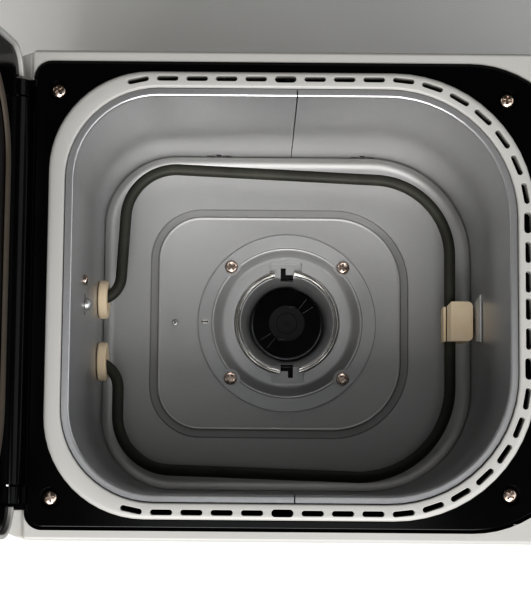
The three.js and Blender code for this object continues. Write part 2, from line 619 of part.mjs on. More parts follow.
// Bent sheet chassis: top plate with legs, and posts under the socket screws.
function chassis() {
  const [low, high] = [CHASSIS_Z, CHASSIS_Z + 1.5];
  const foot = BASE_Z + WALL + GAP;
  let frame = block(-74, 74, -208, 84, low, high);
  for (const side of [-1, 1]) {
    const [x0, x1] = side > 0 ? [72.5, 74] : [-74, -72.5];
    frame = frame.add(block(x0, x1, -208, 84, foot, high));
    frame = frame.add(block(side > 0 ? 74 : -86, side > 0 ? 86 : -74, -208, 84, foot, foot + 1.5));
    for (const y of [-150, -80, 0]) frame = frame.subtract(block(x0 - 5, x1 + 5, y, y + 50, 18, 42));
  }
  for (const [x, y] of SOCKET_SCREWS) {
    frame = frame.add(rod(6, low, FLOOR_Z - 1.2 - GAP, x, y, 12)).subtract(rod(2.3, low - 3, 90, x, y, 8));
  }
  return frame.subtract(rod(10.4, 0, 90, 0, 0, 24)).subtract(rod(8, 0, 90, 0, MOTOR_Y, 16));
}

function motorBody() {
  const low = CHASSIS_Z + 1.5 + GAP;
  const core = slab(roundedRect(27.5, 27.5, 6, 0, MOTOR_Y), low + 18, low + 56, 3);
  const bell = turned([[0, low], [18, low], [23, low + 6], [23, low + 66], [17, low + 74], [0, low + 74]],
    20, 0, MOTOR_Y);
  return core.add(bell).subtract(rod(3.5, low - 5, low + 12, 0, MOTOR_Y, 16));
}

add('socket_base', socketBase(), material.castGrey);
add('socket_ring', socketRing(), material.brightSteel);
SOCKET_SCREWS.forEach(([x, y], i) => {
  add(`socket_screw_${i + 1}`, panScrew(12), material.screwNickel).position.set(x, y, FLOOR_Z + 3.4 + GAP);
});
add('drive_coupling', driveCoupling(), material.softBlack);
add('drive_shaft', rod(SHAFT_R, 22, 64.6, 0, 0, 20), material.brightSteel);
add('shaft_bearing', shaftBearing(), material.castGrey);
add('large_pulley', pulley(LARGE_PULLEY_R, 12, SHAFT_R + GAP, 0, 24), material.castGrey);
add('drive_belt', driveBelt(), material.rubber);
add('chassis', chassis(), material.zincSteel);
add('motor', motorBody(), material.motorSteel);
add('motor_shaft', rod(3, 24, CHASSIS_Z + 12, 0, MOTOR_Y, 14), material.brightSteel);
add('motor_pulley', pulley(SMALL_PULLEY_R, 6, 3.3, MOTOR_Y, 14), material.castGrey);

// ---------------------------------------------------------------- controls and electrics

function controlPanel() {
  const outline = roundedRect(PANEL.x, PANEL.y, PANEL.r);
  for (const [, x, y, w, h] of KEYS) {
    outline.holes.push(roundedRect(w + LOOSE, h + LOOSE, h + LOOSE - 0.01, x, y));
  }
  outline.holes.push(roundedRect(DISPLAY.halfX + LOOSE, DISPLAY.halfY + LOOSE, 3, DISPLAY.x, DISPLAY.y));
  return slab(outline, PANEL.proud - PANEL.thick, PANEL.proud, 3);
}

function key(halfX, halfY) {
  const cap = slab(roundedRect(halfX, halfY, halfY - 0.01), -5.5, BUTTON_PROUD, 3);
  return cap.add(slab(roundedRect(halfX + 1.3, halfY + 1.3, halfY / 2), -4.4, -2.7, 1));
}

function controlBoard() {
  let board = slab(roundedRect(92, 22, 2), -BOARD_DEPTH, 1.6 - BOARD_DEPTH, 2);
  for (const [, x, y] of KEYS) {
    board = board.add(block(x - 3, x + 3, y - 3, y + 3, 1 - BOARD_DEPTH, 5 - BOARD_DEPTH));
  }
  return board;
}

function powerBoard() {
  let board = block(42, 104, -204.6, -203, 62, 150);
  board = board.add(block(48, 66, -203.5, -186, 70, 92)).add(block(72, 96, -203.5, -192, 100, 120));
  return board.add(rodAlongY(8, -203.5, -182, 88, 80, 16));
}

// Appliance inlet: a shell let into the back of the housing, with three flat contact blades.
function powerInlet() {
  const { x, z } = INLET;
  const [face, deep] = [BODY.back + GAP, BODY.back - 20];
  let shell = block(x - INLET.halfX - INLET.flange, x + INLET.halfX + INLET.flange, face, face + 2,
    z - INLET.halfZ - 2, z + INLET.halfZ + 2);
  shell = shell.add(block(x - INLET.halfX, x + INLET.halfX, deep, face + 1,
    z - INLET.halfZ, z + INLET.halfZ));
  shell = shell.subtract(block(x - INLET.cavityX, x + INLET.cavityX, deep + 2, face + 9,
    z - INLET.cavityZ, z + INLET.cavityZ));
  for (const [dx, dz] of [[-7, -1.5], [0, 1.2], [7, -1.5]]) {
    shell = shell.add(block(x + dx - 1, x + dx + 1, deep + 1, face - 3, z + dz - 2, z + dz + 2));
  }
  return shell;
}

add('control_panel', controlPanel(), material.black, panelPlace);
add('display_lens', slab(roundedRect(DISPLAY.halfX, DISPLAY.halfY, 2.8, DISPLAY.x, DISPLAY.y), -1.6, 0.8, 3),
  material.glass, panelPlace);
add('display_module', block(DISPLAY.x - 30, DISPLAY.x + 30, DISPLAY.y - 12, DISPLAY.y + 12,
  1.6 - BOARD_DEPTH + GAP, -3), material.buttonGrey, panelPlace);
for (const [name, x, y, w, h] of KEYS) {
  add(name, key(w, h), material.buttonGrey, panelPlace).position.set(x, y, 0);
}
add('control_board', controlBoard(), material.board, panelPlace);
add('power_board', powerBoard(), material.board);
add('power_inlet', powerInlet(), material.softBlack);

// ---------------------------------------------------------------- lid, drawn shut and swung open

const lidPlace = new THREE.Group();
lidPlace.position.set(0, HINGE.y, HINGE.z);
lidPlace.rotation.x = -radians(LID_OPEN_DEG);
machine.add(lidPlace);

function addLid(name, body, finish) {
  return add(name, body.translate([0, -HINGE.y, -HINGE.z]), finish, lidPlace);
}

// Room for the hinge at the back of the lid.
const hingeRoom = block(-105, 105, HINGE.y - 9, HINGE.y + 20, 0, HINGE.z + 9);

function lidShell() {
  const round = 10;
  const skin = (inset, low) => loft([
    loop(LID, -inset, low), loop(LID, -inset, LID_TOP_Z - round),
    loop(LID, -inset - 2.6, LID_TOP_Z - 3.4 - inset * 0.6), loop(LID, -inset - 7, LID_TOP_Z - 0.6 - inset),
    loop(LID, -inset - 12, LID_TOP_Z - inset)], false);
  const shell = skin(0, LID_BOTTOM_Z).subtract(skin(WALL, LID_BOTTOM_Z - 9)).subtract(hingeRoom);
  return shell.subtract(loft([loop(WINDOW, LOOSE, 200), loop(WINDOW, LOOSE, 300)], false));
}

// Inner frame: a flat ring with an upturned outer edge, and the hinge barrel along its back.
function lidInnerFrame() {
  const [low, web, high] = [236.6, 239, 247];
  const edge = -WALL - LOOSE;
  const ring = loft([loop(LID, edge, low), loop(LID, edge, high), loop(LID, edge - 2, high),
    loop(LID, edge - 2, web), loop(LINER, 0, web), loop(LINER, 0, low)], true);
  const barrel = rodAlongX(HINGE.barrelR, -HINGE.barrelHalf, HINGE.barrelHalf, HINGE.y, HINGE.z, 20);
  const ends = block(-105, 105, HINGE.y - 9, 200, 0, 400).subtract(block(-94, 94, 0, 200, 0, 400));
  let frame = ring.subtract(ends).subtract(block(-105, 105, HINGE.y - 2, 200, 0, 400)).add(barrel);
  for (const side of [-1, 1]) {
    const [x0, x1] = side > 0 ? [80, 99] : [-99, -80];
    frame = frame.subtract(rodAlongX(HINGE.pinR + GAP, x0, x1, HINGE.y, HINGE.z));
    frame = frame.subtract(rod(2.3, 200, 300, side * LID_SCREW.x, LID_SCREW.y, 10));
  }
  return frame;
}

function lidLiner() {
  const [rim, roof] = [239.3, 256];
  return loft([loop(LINER, 5, rim), loop(LINER, -0.5, rim), loop(LINER, -14, roof), loop(WINDOW, -6, roof),
    loop(WINDOW, -6, roof + SHEET), loop(LINER, -14.6, roof + SHEET), loop(LINER, -1.1, rim + SHEET),
    loop(LINER, 5, rim + SHEET)], true);
}

function lidSeal() {
  const [low, high] = [234.9, 236.3];
  return loft([loop(CHAMBER, 5.5, low), loop(CHAMBER, 10.5, low), loop(CHAMBER, 10.5, high),
    loop(CHAMBER, 5.5, high)], true);
}

addLid('lid_shell', lidShell(), material.offWhite);
addLid('lid_inner_frame', lidInnerFrame(), material.black);
addLid('lid_liner', lidLiner(), material.chamberSteel);
const outerPane = loft([loop(WINDOW, 0, LID_TOP_Z - 4), loop(WINDOW, 0, LID_TOP_Z)], false);
addLid('lid_window', outerPane, material.glass);
addLid('lid_inner_glass', loft([loop(WINDOW, 2, 257.3), loop(WINDOW, 2, 260.3)], false), material.glass);
addLid('lid_seal', lidSeal(), material.silicone);
for (const [name, side] of [['lid_screw_left', -1], ['lid_screw_right', 1]]) {
  const screw = panScrew(8).rotate([180, 0, 0]).translate([side * LID_SCREW.x, LID_SCREW.y, 236.6 - GAP]);
  addLid(name, screw, material.screwNickel);
}
for (const [name, x0] of [['hinge_pin_left', -102.5], ['hinge_pin_right', 86.5]]) {
  add(name, rodAlongX(HINGE.pinR, x0, x0 + 16, HINGE.y, HINGE.z, 14), material.brightSteel);
}

// ---------------------------------------------------------------- origin in the middle of the footprint

machine.updateMatrixWorld(true);
const bounds = new THREE.Box3().setFromObject(machine, true);
machine.position.set(-(bounds.min.x + bounds.max.x) / 2, -(bounds.min.y + bounds.max.y) / 2, -bounds.min.z);
machine.updateMatrixWorld(true);

export default machine;
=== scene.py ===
import json
import math

import bmesh
import bpy
from mathutils import Matrix, Vector


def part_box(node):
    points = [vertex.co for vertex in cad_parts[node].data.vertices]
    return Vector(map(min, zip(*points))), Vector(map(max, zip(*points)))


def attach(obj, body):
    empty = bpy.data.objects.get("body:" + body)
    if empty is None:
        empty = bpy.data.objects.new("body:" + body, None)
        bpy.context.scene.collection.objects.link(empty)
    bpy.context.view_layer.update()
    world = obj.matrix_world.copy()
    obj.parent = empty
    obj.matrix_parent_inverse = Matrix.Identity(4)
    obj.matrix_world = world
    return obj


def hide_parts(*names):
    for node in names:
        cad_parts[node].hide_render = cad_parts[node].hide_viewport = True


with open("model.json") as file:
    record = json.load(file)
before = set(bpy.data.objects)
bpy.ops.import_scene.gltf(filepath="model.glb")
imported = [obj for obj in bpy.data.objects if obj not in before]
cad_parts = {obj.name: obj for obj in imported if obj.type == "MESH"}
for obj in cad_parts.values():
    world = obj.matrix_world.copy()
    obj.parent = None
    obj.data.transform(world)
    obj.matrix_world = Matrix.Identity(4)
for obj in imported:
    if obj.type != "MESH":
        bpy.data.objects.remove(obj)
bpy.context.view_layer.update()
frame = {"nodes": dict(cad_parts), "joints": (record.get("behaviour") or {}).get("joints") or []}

# ------------------------------------------------------------------ camera, lights and floor
# A product shot taken from a little under a metre above the open machine, looking almost straight
# down. Everything is laid out in millimetres from the vertical drive axis under the bread pan.

MM = 0.001
socket_low, socket_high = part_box("socket_base")
axis_y = (socket_low.y + socket_high.y) / 2
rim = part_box("chamber_wall_rear")[1].z / MM


def place(x, y, z):
    """Millimetres from the drive axis and the worktop, as a point in the frame."""
    return Vector((x * MM, y * MM + axis_y, z * MM))


camera_data = bpy.data.cameras.new("camera")
camera_data.lens = 98.3
camera_data.clip_start = 0.05
camera = bpy.data.objects.new("camera", camera_data)
camera.location = place(-87, 10.3, rim + 801.8)
camera.rotation_euler = [math.radians(angle) for angle in (5.96, 0.09, -89.5)]
bpy.context.scene.collection.objects.link(camera)
bpy.context.scene.camera = camera
bpy.context.scene.view_settings.view_transform = "Standard"
bpy.context.scene.view_settings.look = "High Contrast"


def softbox(name, at, aim, size, power, colour):
    """A rectangular studio light that points at a spot."""
    light = bpy.data.lights.new(name, "AREA")
    light.shape = "RECTANGLE"
    light.size, light.size_y = size
    light.energy = power
    light.color = colour
    lamp = bpy.data.objects.new(name, light)
    lamp.location = at
    lamp.rotation_euler = (at - aim).to_track_quat("Z", "Y").to_euler()
    bpy.context.scene.collection.objects.link(lamp)


chamber_middle = place(0, 0, rim - 60)
softbox("key_light", place(-1800, 0, rim + 1800), chamber_middle, (1.1, 1.8), 49, (1.0, 0.99, 0.99))
softbox("back_left_light", place(-1000, 500, rim + 800), chamber_middle, (0.8, 0.8), 3.6,
        (1.0, 0.985, 0.96))
softbox("top_light", place(-350, 0, rim + 1400), chamber_middle, (0.4, 0.6), 1.2, (0.95, 0.97, 1.0))
softbox("front_left_light", place(-500, -900, rim + 1100), chamber_middle, (0.8, 0.6), 4.2,
        (0.98, 0.99, 1.0))
softbox("front_fill", place(200, -1500, 700), place(0, 0, 200), (1.4, 1.0), 5, (0.96, 0.98, 1.0))
softbox("back_fill", place(300, 1500, 900), place(0, 0, 200), (1.4, 1.0), 6, (1.0, 0.98, 0.95))

world = bpy.data.worlds.new("studio")
bpy.context.scene.world = world
world.use_nodes = True
world.node_tree.nodes["Background"].inputs["Color"].default_value = (1.0, 0.97, 0.92, 1)
world.node_tree.nodes["Background"].inputs["Strength"].default_value = 0.05


def link_mesh(name, verts, faces, sharp=32):
    """A mesh object from points and faces, faces turned outwards and shaded smooth up to an angle."""
    mesh = bpy.data.meshes.new(name)
    mesh.from_pydata(verts, [], faces)
    work = bmesh.new()
    work.from_mesh(mesh)
    bmesh.ops.remove_doubles(work, verts=work.verts, dist=1e-7)
    bmesh.ops.recalc_face_normals(work, faces=work.faces)
    work.to_mesh(mesh)
    work.free()
    mesh.polygons.foreach_set("use_smooth", [True] * len(mesh.polygons))
    mesh.set_sharp_from_angle(angle=math.radians(sharp))
    thing = bpy.data.objects.new(name, mesh)
    bpy.context.scene.collection.objects.link(thing)
    return thing


def grained(name, colour, second, rough, metal=0.0, mottle=9.0, grain=900.0, bump=0.00003, shine=0.5,
            stretch=(1, 1, 1), contrast=0.5):
    """A finish with soft colour patches, a fine surface grain and matching changes of gloss."""
    material = bpy.data.materials.new(name)
    material.use_nodes = True
    nodes, links = material.node_tree.nodes, material.node_tree.links
    shader = nodes["Principled BSDF"]
    shader.inputs["Metallic"].default_value = metal
    shader.inputs["Specular IOR Level"].default_value = shine
    where = nodes.new("ShaderNodeTexCoord")
    mapping = nodes.new("ShaderNodeMapping")
    mapping.inputs["Scale"].default_value = stretch
    links.new(where.outputs["Object"], mapping.inputs["Vector"])
    patches = nodes.new("ShaderNodeTexNoise")
    patches.inputs["Scale"].default_value = mottle
    patches.inputs["Detail"].default_value = 5
    links.new(where.outputs["Object"], patches.inputs["Vector"])
    fine = nodes.new("ShaderNodeTexNoise")
    fine.inputs["Scale"].default_value = grain
    fine.inputs["Detail"].default_value = 3
    links.new(mapping.outputs["Vector"], fine.inputs["Vector"])
    blend = nodes.new("ShaderNodeMath")
    blend.operation = "MULTIPLY_ADD"
    blend.inputs[1].default_value = contrast
    links.new(fine.outputs["Fac"], blend.inputs[0])
    links.new(patches.outputs["Fac"], blend.inputs[2])
    ramp = nodes.new("ShaderNodeValToRGB")
    ramp.color_ramp.elements[0].position = 0.35 + contrast / 2 - 0.1
    ramp.color_ramp.elements[1].position = 0.65 + contrast / 2 + 0.1
    ramp.color_ramp.elements[0].color = (*colour, 1)
    ramp.color_ramp.elements[1].color = (*second, 1)
    links.new(blend.outputs["Value"], ramp.inputs["Fac"])
    links.new(ramp.outputs["Color"], shader.inputs["Base Color"])
    gloss = nodes.new("ShaderNodeMapRange")
    gloss.inputs["To Min"].default_value, gloss.inputs["To Max"].default_value = rough
    links.new(blend.outputs["Value"], gloss.inputs["Value"])
    links.new(gloss.outputs["Result"], shader.inputs["Roughness"])
    relief = nodes.new("ShaderNodeBump")
    relief.inputs["Distance"].default_value = bump
    relief.inputs["Strength"].default_value = 1.0
    links.new(fine.outputs["Fac"], relief.inputs["Height"])
    links.new(relief.outputs["Normal"], shader.inputs["Normal"])
    return material


worktop = link_mesh("worktop", [(x, y, 0) for x, y in ((-3, -3), (3, -3), (3, 3), (-3, 3))],
                    [(0, 1, 2, 3)])
worktop.data.materials.append(grained("pale_paper", (0.80, 0.80, 0.79), (0.84, 0.84, 0.83), (0.6, 0.7),
                                      bump=0.00001))

# ------------------------------------------------------------------ base plate and feet
# A black injection-moulded bottom with cooling slots, screwed up into the housing. Four turned
# rubber pads are pressed into it and keep the machine still while it kneads.

BODY = {"x": 121.5, "front": -217, "back": 150, "r_front": 38, "r_back": 26}
CORNER_STEPS = 14


def outline(plan, grow, z):
    """Points round a rounded plan shape, grown outwards, at one height; always the same number."""
    radii = [max(plan[key] + grow, 1.5) for key in ("r_back", "r_back", "r_front", "r_front")]
    x, back, front = plan["x"] + grow, plan["back"] + grow, plan["front"] - grow
    signs = [(1, 1), (-1, 1), (-1, -1), (1, -1)]
    points = []
    for quarter, (radius, (sx, sy)) in enumerate(zip(radii, signs)):
        cx = sx * (x - radius)
        cy = back - radius if sy > 0 else front + radius
        for step in range(CORNER_STEPS + 1):
            angle = math.pi / 2 * (quarter + step / CORNER_STEPS)
            points.append(place(cx + radius * math.cos(angle), cy + radius * math.sin(angle), z))
    return points


def loft(name, loops, ring=False, sharp=32):
    """A closed solid through loops of equal length: capped at its ends, or joined into a ring."""
    count = len(loops[0])
    faces = []
    for i in range(len(loops) if ring else len(loops) - 1):
        j = (i + 1) % len(loops)
        for a in range(count):
            b = (a + 1) % count
            faces.append((i * count + a, i * count + b, j * count + b, j * count + a))
    if not ring:
        faces.append(tuple(reversed(range(count))))
        faces.append(tuple(range((len(loops) - 1) * count, len(loops) * count)))
    return link_mesh(name, [point for points in loops for point in points], faces, sharp)


def stack(*rings):
    """Points and faces of a closed part through rings of points, one after another."""
    count = len(rings[0])
    last = (len(rings) - 1) * count
    sides = [(row + i, row + (i + 1) % count, row + count + (i + 1) % count, row + count + i)
             for row in range(0, last, count) for i in range(count)]
    caps = [tuple(reversed(range(count))), tuple(range(last, last + count))]
    return [point for ring in rings for point in ring], caps + sides


def prism(corners, low, high):
    """An upright prism; corners are (x, y) in millimetres."""
    return stack(*[[place(x, y, z) for x, y in corners] for z in (low, high)])


def box(x0, x1, y0, y1, z0, z1):
    """A square block, sides in millimetres."""
    return prism([(x0, y0), (x1, y0), (x1, y1), (x0, y1)], z0, z1)


def circle(radius, x=0, y=0, steps=32):
    """Corners of a round hole or bar, anticlockwise."""
    return [(x + radius * math.cos(2 * math.pi * i / steps),
             y + radius * math.sin(2 * math.pi * i / steps)) for i in range(steps)]


def solid(name, *parts, sharp=32):
    """One object from several separate point-and-face parts."""
    points, faces = [], []
    for part_points, part_faces in parts:
        start = len(points)
        points += part_points
        faces += [tuple(start + i for i in face) for face in part_faces]
    return link_mesh(name, points, faces, sharp)


def settle(thing, sharp=32):
    """Turns a piece's modifiers into its mesh."""
    shown = thing.evaluated_get(bpy.context.evaluated_depsgraph_get())
    mesh = bpy.data.meshes.new_from_object(shown)
    thing.modifiers.clear()
    thing.data = mesh
    if not mesh.has_custom_normals:
        mesh.polygons.foreach_set("use_smooth", [True] * len(mesh.polygons))
        mesh.set_sharp_from_angle(angle=math.radians(sharp))
    return thing


def carve(thing, cutter, how="DIFFERENCE", sharp=32):
    """Cuts, joins or trims a piece with another one, which is used up."""
    modifier = thing.modifiers.new("carve", "BOOLEAN")
    modifier.operation = how
    modifier.solver = "EXACT"
    modifier.object = cutter
    settle(thing, sharp)
    bpy.data.objects.remove(cutter)
    return thing


def soften(thing, width, segments=2, angle=40, sharp=32):
    """Breaks the hard edges with a small radius and keeps the large faces between them flat."""
    modifier = thing.modifiers.new("soften", "BEVEL")
    modifier.width = width * MM
    modifier.segments = segments
    modifier.limit_method = "ANGLE"
    modifier.angle_limit = math.radians(angle)
    modifier.use_clamp_overlap = True
    settle(thing, sharp)
    modifier = thing.modifiers.new("flat_faces", "WEIGHTED_NORMAL")
    modifier.keep_sharp = True
    return settle(thing, sharp)


def hand_over(thing, material, body, slot, *nodes):
    """Gives a finished piece its material and body, and hides the CAD pieces it stands for, if any; `slot`
    is not used.
    """
    thing.data.materials.clear()
    thing.data.materials.append(material)
    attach(thing, body)
    if nodes:
        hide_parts(*nodes)
    return thing


def turned(name, profile, x=0, y=0, steps=64, sharp=32):
    """A piece turned on a lathe: (radius, height) points, from axis to axis or round a bore."""
    on_axis = profile[0][0] == 0
    loops = [[place(a, b, z) for a, b in circle(r, x, y, steps)] for r, z in profile if r > 0]
    return loft(name, loops, ring=not on_axis, sharp=sharp)


black_plastic = grained("black_grained_plastic", (0.018, 0.018, 0.019), (0.028, 0.028, 0.029),
                        (0.42, 0.6), mottle=30, grain=1500, bump=0.00006)
base = loft("base_moulding", [outline(BODY, -2.9, 6), outline(BODY, -2.9, 8.5)])
base_slots = [box(-36, 36, row * 12 - 1.7, row * 12 + 1.7, 0, 20) for row in range(-3, 4)]
carve(base, solid("slots", *base_slots))
hand_over(soften(base, 0.4), black_plastic, "body", "matte_black_plastic", "base_plate")

rubber = grained("black_rubber", (0.012, 0.012, 0.012), (0.03, 0.03, 0.03), (0.75, 0.9), mottle=60,
                 grain=2500, bump=0.00005)
for corner in ("front_left", "front_right", "back_left", "back_right"):
    low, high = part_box("foot_" + corner)
    middle = (low + high) / 2 / MM
    pad = turned("rubber_foot_" + corner,
                 [(0, 0), (6.2, 0), (6.2, 0.8), (7.4, 0.8), (7.4, 0), (8.5, 0), (9.6, 0.7), (10, 1.8),
                  (9.3, 5.7), (0, 5.7)], middle.x, middle.y - axis_y / MM, 40)
    hand_over(pad, rubber, "body", "rubber", "foot_" + corner)

# ------------------------------------------------------------------ housing
# The outer casing: one off-white moulding, 2.5 mm thick, with a sloping front for the controls, a
# rim round the black deck, a step under the lid hinge, and cooling slots and an inlet at the back.

WALL = 2.5
DECK = {"x": 114.5, "front": -141.8, "back": 127, "r_front": 53, "r_back": 7}
hinge_low, hinge_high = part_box("hinge_pin_left")
hinge_y = (hinge_low.y + hinge_high.y) / 2 / MM - axis_y / MM
hinge_z = (hinge_low.z + hinge_high.z) / 2 / MM
slope_top, slope_foot = (-147, 233), (-212, 191)


def arc(cx, cy, radius, start, end, steps=8):
    """Points (a, b) along a circular arc, angles in degrees."""
    turn = [math.radians(start + (end - start) * i / steps) for i in range(steps + 1)]
    return [(cx + radius * math.cos(t), cy + radius * math.sin(t)) for t in turn]


def side_profile(inset):
    """The housing seen from the side, `inset` inside its skin, as (y, z) points."""
    trough, rim_top = rim - 3 - inset, rim + 1 - inset
    front, back = BODY["front"] + inset, BODY["back"] - inset
    step = DECK["back"] + 2.5 - inset
    points = [(front, -14), (back, -14), *arc(back - 5, trough - 5, 5, 0, 90)]
    points += [(step, trough), (step, rim_top), (slope_top[0] + inset / 2, slope_top[1] - inset)]
    points += [(slope_foot[0] + inset / 2, slope_foot[1] - inset)]
    return points + [(front + 1.2, slope_foot[1] - 4.5 - inset), (front + 0.2, slope_foot[1] - 9 - inset),
                     (front, slope_foot[1] - 15)]


def across(name, profile, x0, x1):
    """A (y, z) profile run across the machine from x0 to x1."""
    return loft(name, [[place(x, y, z) for y, z in profile] for x in (x0, x1)])


def rod_across(radius, x0, x1, y, z, steps=32):
    """A round bar from left to right."""
    return stack(*[[place(x, y + a, z + b) for a, b in circle(radius, steps=steps)] for x in (x0, x1)])


housing = loft("housing_casing", [outline(BODY, 0, 6), outline(BODY, 0, rim + 10)])
carve(housing, soften(across("skin", side_profile(0), -BODY["x"], BODY["x"]), 3, 4), "INTERSECT")
hollow = loft("hollow", [outline(BODY, -WALL, 0), outline(BODY, -WALL, rim + 10)])
carve(hollow, across("inside", side_profile(WALL), -BODY["x"], BODY["x"]), "INTERSECT")
carve(housing, hollow)
carve(housing, loft("mouth", [outline(DECK, 1.9, rim - 12), outline(DECK, 1.9, rim + 9)]))

slope = math.atan2(slope_top[1] - slope_foot[1], slope_top[0] - slope_foot[0])
panel_place = Matrix.Translation(place(0, (slope_top[0] + slope_foot[0]) / 2,
                                       (slope_top[1] + slope_foot[1]) / 2))
panel_place = panel_place @ Matrix.Rotation(slope, 4, "X")


def rounded(half_x, half_y, radius, cx=0, cy=0, steps=8):
    """Corners of a rounded rectangle, anticlockwise."""
    x, y = half_x - radius, half_y - radius
    return [point for sx, sy, start in ((1, 1, 0), (-1, 1, 90), (-1, -1, 180), (1, -1, 270))
            for point in arc(cx + sx * x, cy + sy * y, radius, start, start + 90, steps)]


def on_panel(part):
    """Moves a part drawn flat on the worktop at the drive axis onto the sloping front."""
    points, faces = part
    lift = Matrix.Translation((0, -axis_y, 0))
    return [panel_place @ (lift @ point) for point in points], faces


carve(housing, solid("panel_cut", on_panel(prism(rounded(98.4, 29.4, 10), -20, 20))))
carve(housing, solid("hinge_bed_room", box(-107, 107, DECK["back"] - 1, 147.4, rim - 4.3, rim + 30)))
inlet_low, inlet_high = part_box("power_inlet")
inlet_x, inlet_z = ((inlet_low + inlet_high) / 2).x / MM, ((inlet_low + inlet_high) / 2).z / MM
inlet_hole = box(inlet_x - 13.8, inlet_x + 13.8, 141, 159, inlet_z - 10.3, inlet_z + 10.3)
back_slots = [box(i * 11 - 1.7, i * 11 + 1.7, 141, 159, 70, 112) for i in range(-4, 4)]
carve(housing, solid("back_cuts", inlet_hole, *back_slots))
groove = loft("groove",
              [outline(BODY, -0.9, 19.4), outline(BODY, 3, 19.4), outline(BODY, 3, 20.6),
               outline(BODY, -0.9, 20.6)], ring=True)
carve(housing, groove)
casing_white = grained("off_white_plastic", (0.455, 0.449, 0.428), (0.495, 0.489, 0.468), (0.34, 0.46),
                       mottle=7, grain=2600, bump=0.000012, contrast=0.25)
hand_over(soften(housing, 0.5, 2, 50), casing_white, "body", "off_white_plastic", "housing_shell")

# ------------------------------------------------------------------ chassis, motor and belt drive
# Hidden under the chamber: a folded zinc-plated chassis, an upright motor at the front, and a
# toothed belt from its small pulley to the large nylon one on the drive shaft.

zinc = grained("zinc_plate", (0.50, 0.52, 0.54), (0.62, 0.63, 0.62), (0.28, 0.45), 1.0, mottle=40,
               grain=1400)
motor_finish = grained("motor_laminations", (0.20, 0.21, 0.22), (0.33, 0.34, 0.36), (0.35, 0.55), 0.9,
                       mottle=25, grain=500, stretch=(0.05, 0.05, 4), bump=0.0001)
nylon = grained("grey_nylon", (0.40, 0.40, 0.39), (0.47, 0.47, 0.46), (0.45, 0.6), mottle=30, grain=1200)
bright = grained("bright_steel", (0.72, 0.71, 0.67), (0.80, 0.79, 0.76), (0.10, 0.22), 1.0, mottle=60,
                 grain=1600, bump=0.00001)
cast = grained("cast_socket", (0.56, 0.56, 0.555), (0.63, 0.63, 0.625), (0.42, 0.54), 0.7, mottle=30,
               grain=2600, bump=0.00004, contrast=0.6)
board_green = grained("circuit_board", (0.01, 0.10, 0.04), (0.02, 0.16, 0.07), (0.25, 0.4), mottle=120,
                      grain=700)


def refinish(node, material):
    """A carried-over CAD piece keeps its shape and gets its finish."""
    cad = frame["nodes"][node]
    cad.data.materials.clear()
    cad.data.materials.append(material)


for node, material, slot in [("chassis", zinc, "zinc_steel"), ("motor", motor_finish, "motor_steel"),
                             ("motor_shaft", bright, "bright_steel"),
                             ("drive_shaft", bright, "bright_steel"),
                             ("shaft_bearing", cast, "cast_socket"),
                             ("large_pulley", nylon, "grey_plastic"),
                             ("motor_pulley", nylon, "grey_plastic"), ("drive_belt", rubber, "rubber"),
                             ("thermal_fuse", bright, "bright_steel"),
                             ("power_board", board_green, "circuit_board"),
                             ("control_board", board_green, "circuit_board"),
                             ("display_module", nylon, "grey_plastic")]:
    refinish(node, material)

# ------------------------------------------------------------------ baking chamber
# Two bent sheets of coated steel make the wall: they meet at a seam on the left and on the right,
# and their rims are turned out over the casing. The floor is a pressing with a rounded edge and a
# raised square that stiffens it round the drive socket.

CHAMBER = {"x": 98.5, "front": -108, "back": 108, "r_front": 60, "r_back": 42}
floor_z = rim - 165
FLANGE = 3.9
element_z = rim - 132
insulator_x = {"right": 9.8, "left": -25.7}
sensor_x, sensor_z, sensor_screw_x, sensor_screw_z = 0.1, rim - 62, 12.2, rim - 54


def rod_along(radius, y0, y1, x, z, steps=32):
    """A round bar from front to back."""
    return stack(*[[place(x + a, y, z + b) for a, b in circle(radius, steps=steps)] for y in (y0, y1)])


def chamber_half(name, node, keep_front):
    """One bent sheet: the back one or the front one, cut along the slanting seam."""
    bend = [(1.3 - 1.3 * math.cos(math.radians(a)), rim - 1.3 + 1.3 * math.sin(math.radians(a)))
            for a in range(0, 91, 15)]
    profile = [(0, floor_z - 2), *bend, (FLANGE, rim), (FLANGE, rim - 1), (1, rim - 1), (1, floor_z - 2)]
    half = loft(name, [outline(CHAMBER, grow, z) for grow, z in profile], ring=True)
    away = 300 if keep_front else -300
    seam_foot, seam_top = (-1.8, -3.1) if keep_front else (-1.5, -2.5)
    cutter = [(seam_foot, floor_z - 9), (seam_top, rim + 9), (away, rim + 9), (away, floor_z - 9)]
    carve(half, across("other_half", cutter, -200, 200))
    cuts = [box(side * 100 - 6, side * 100 + 6, y + start, y + end, floor_z + 6.8, floor_z + up)
            for side in (-1, 1) for y in ((-44,) if keep_front else (41,))
            for start, end, up in ((-7, -2, 10.4), (-1.4, 1.6, 13.4), (2.2, 7, 10.4))]
    if not keep_front:
        cuts += [rod_along(6.3, 90, 120, x, element_z) for x in insulator_x.values()]
        cuts += [box(x - 1.1, x + 1.1, 104, 120, sensor_z - 1.2, sensor_z + 3.4)
                 for x in (sensor_x - 4.7, sensor_x + 4.7)]
        cuts += [box(x - 6, x + 6, 104, 112, floor_z + 6.9, floor_z + 8.1) for x in (33, -61)]
    else:
        cuts += [box(x - 6, x + 6, -112, -104, floor_z + 6.9, floor_z + 8.1) for x in (29, -30)]
    notch_y = -97 if keep_front else 96
    cuts += [box(x - 0.9, x + 0.9, notch_y - 0.2, notch_y + 0.2, rim - 3, rim + 2)
             for x in (-92.5, 92.5)]
    carve(half, solid("wall_cuts", *cuts))
    return hand_over(half, chamber_satin, "body", "chamber_sheet", node)


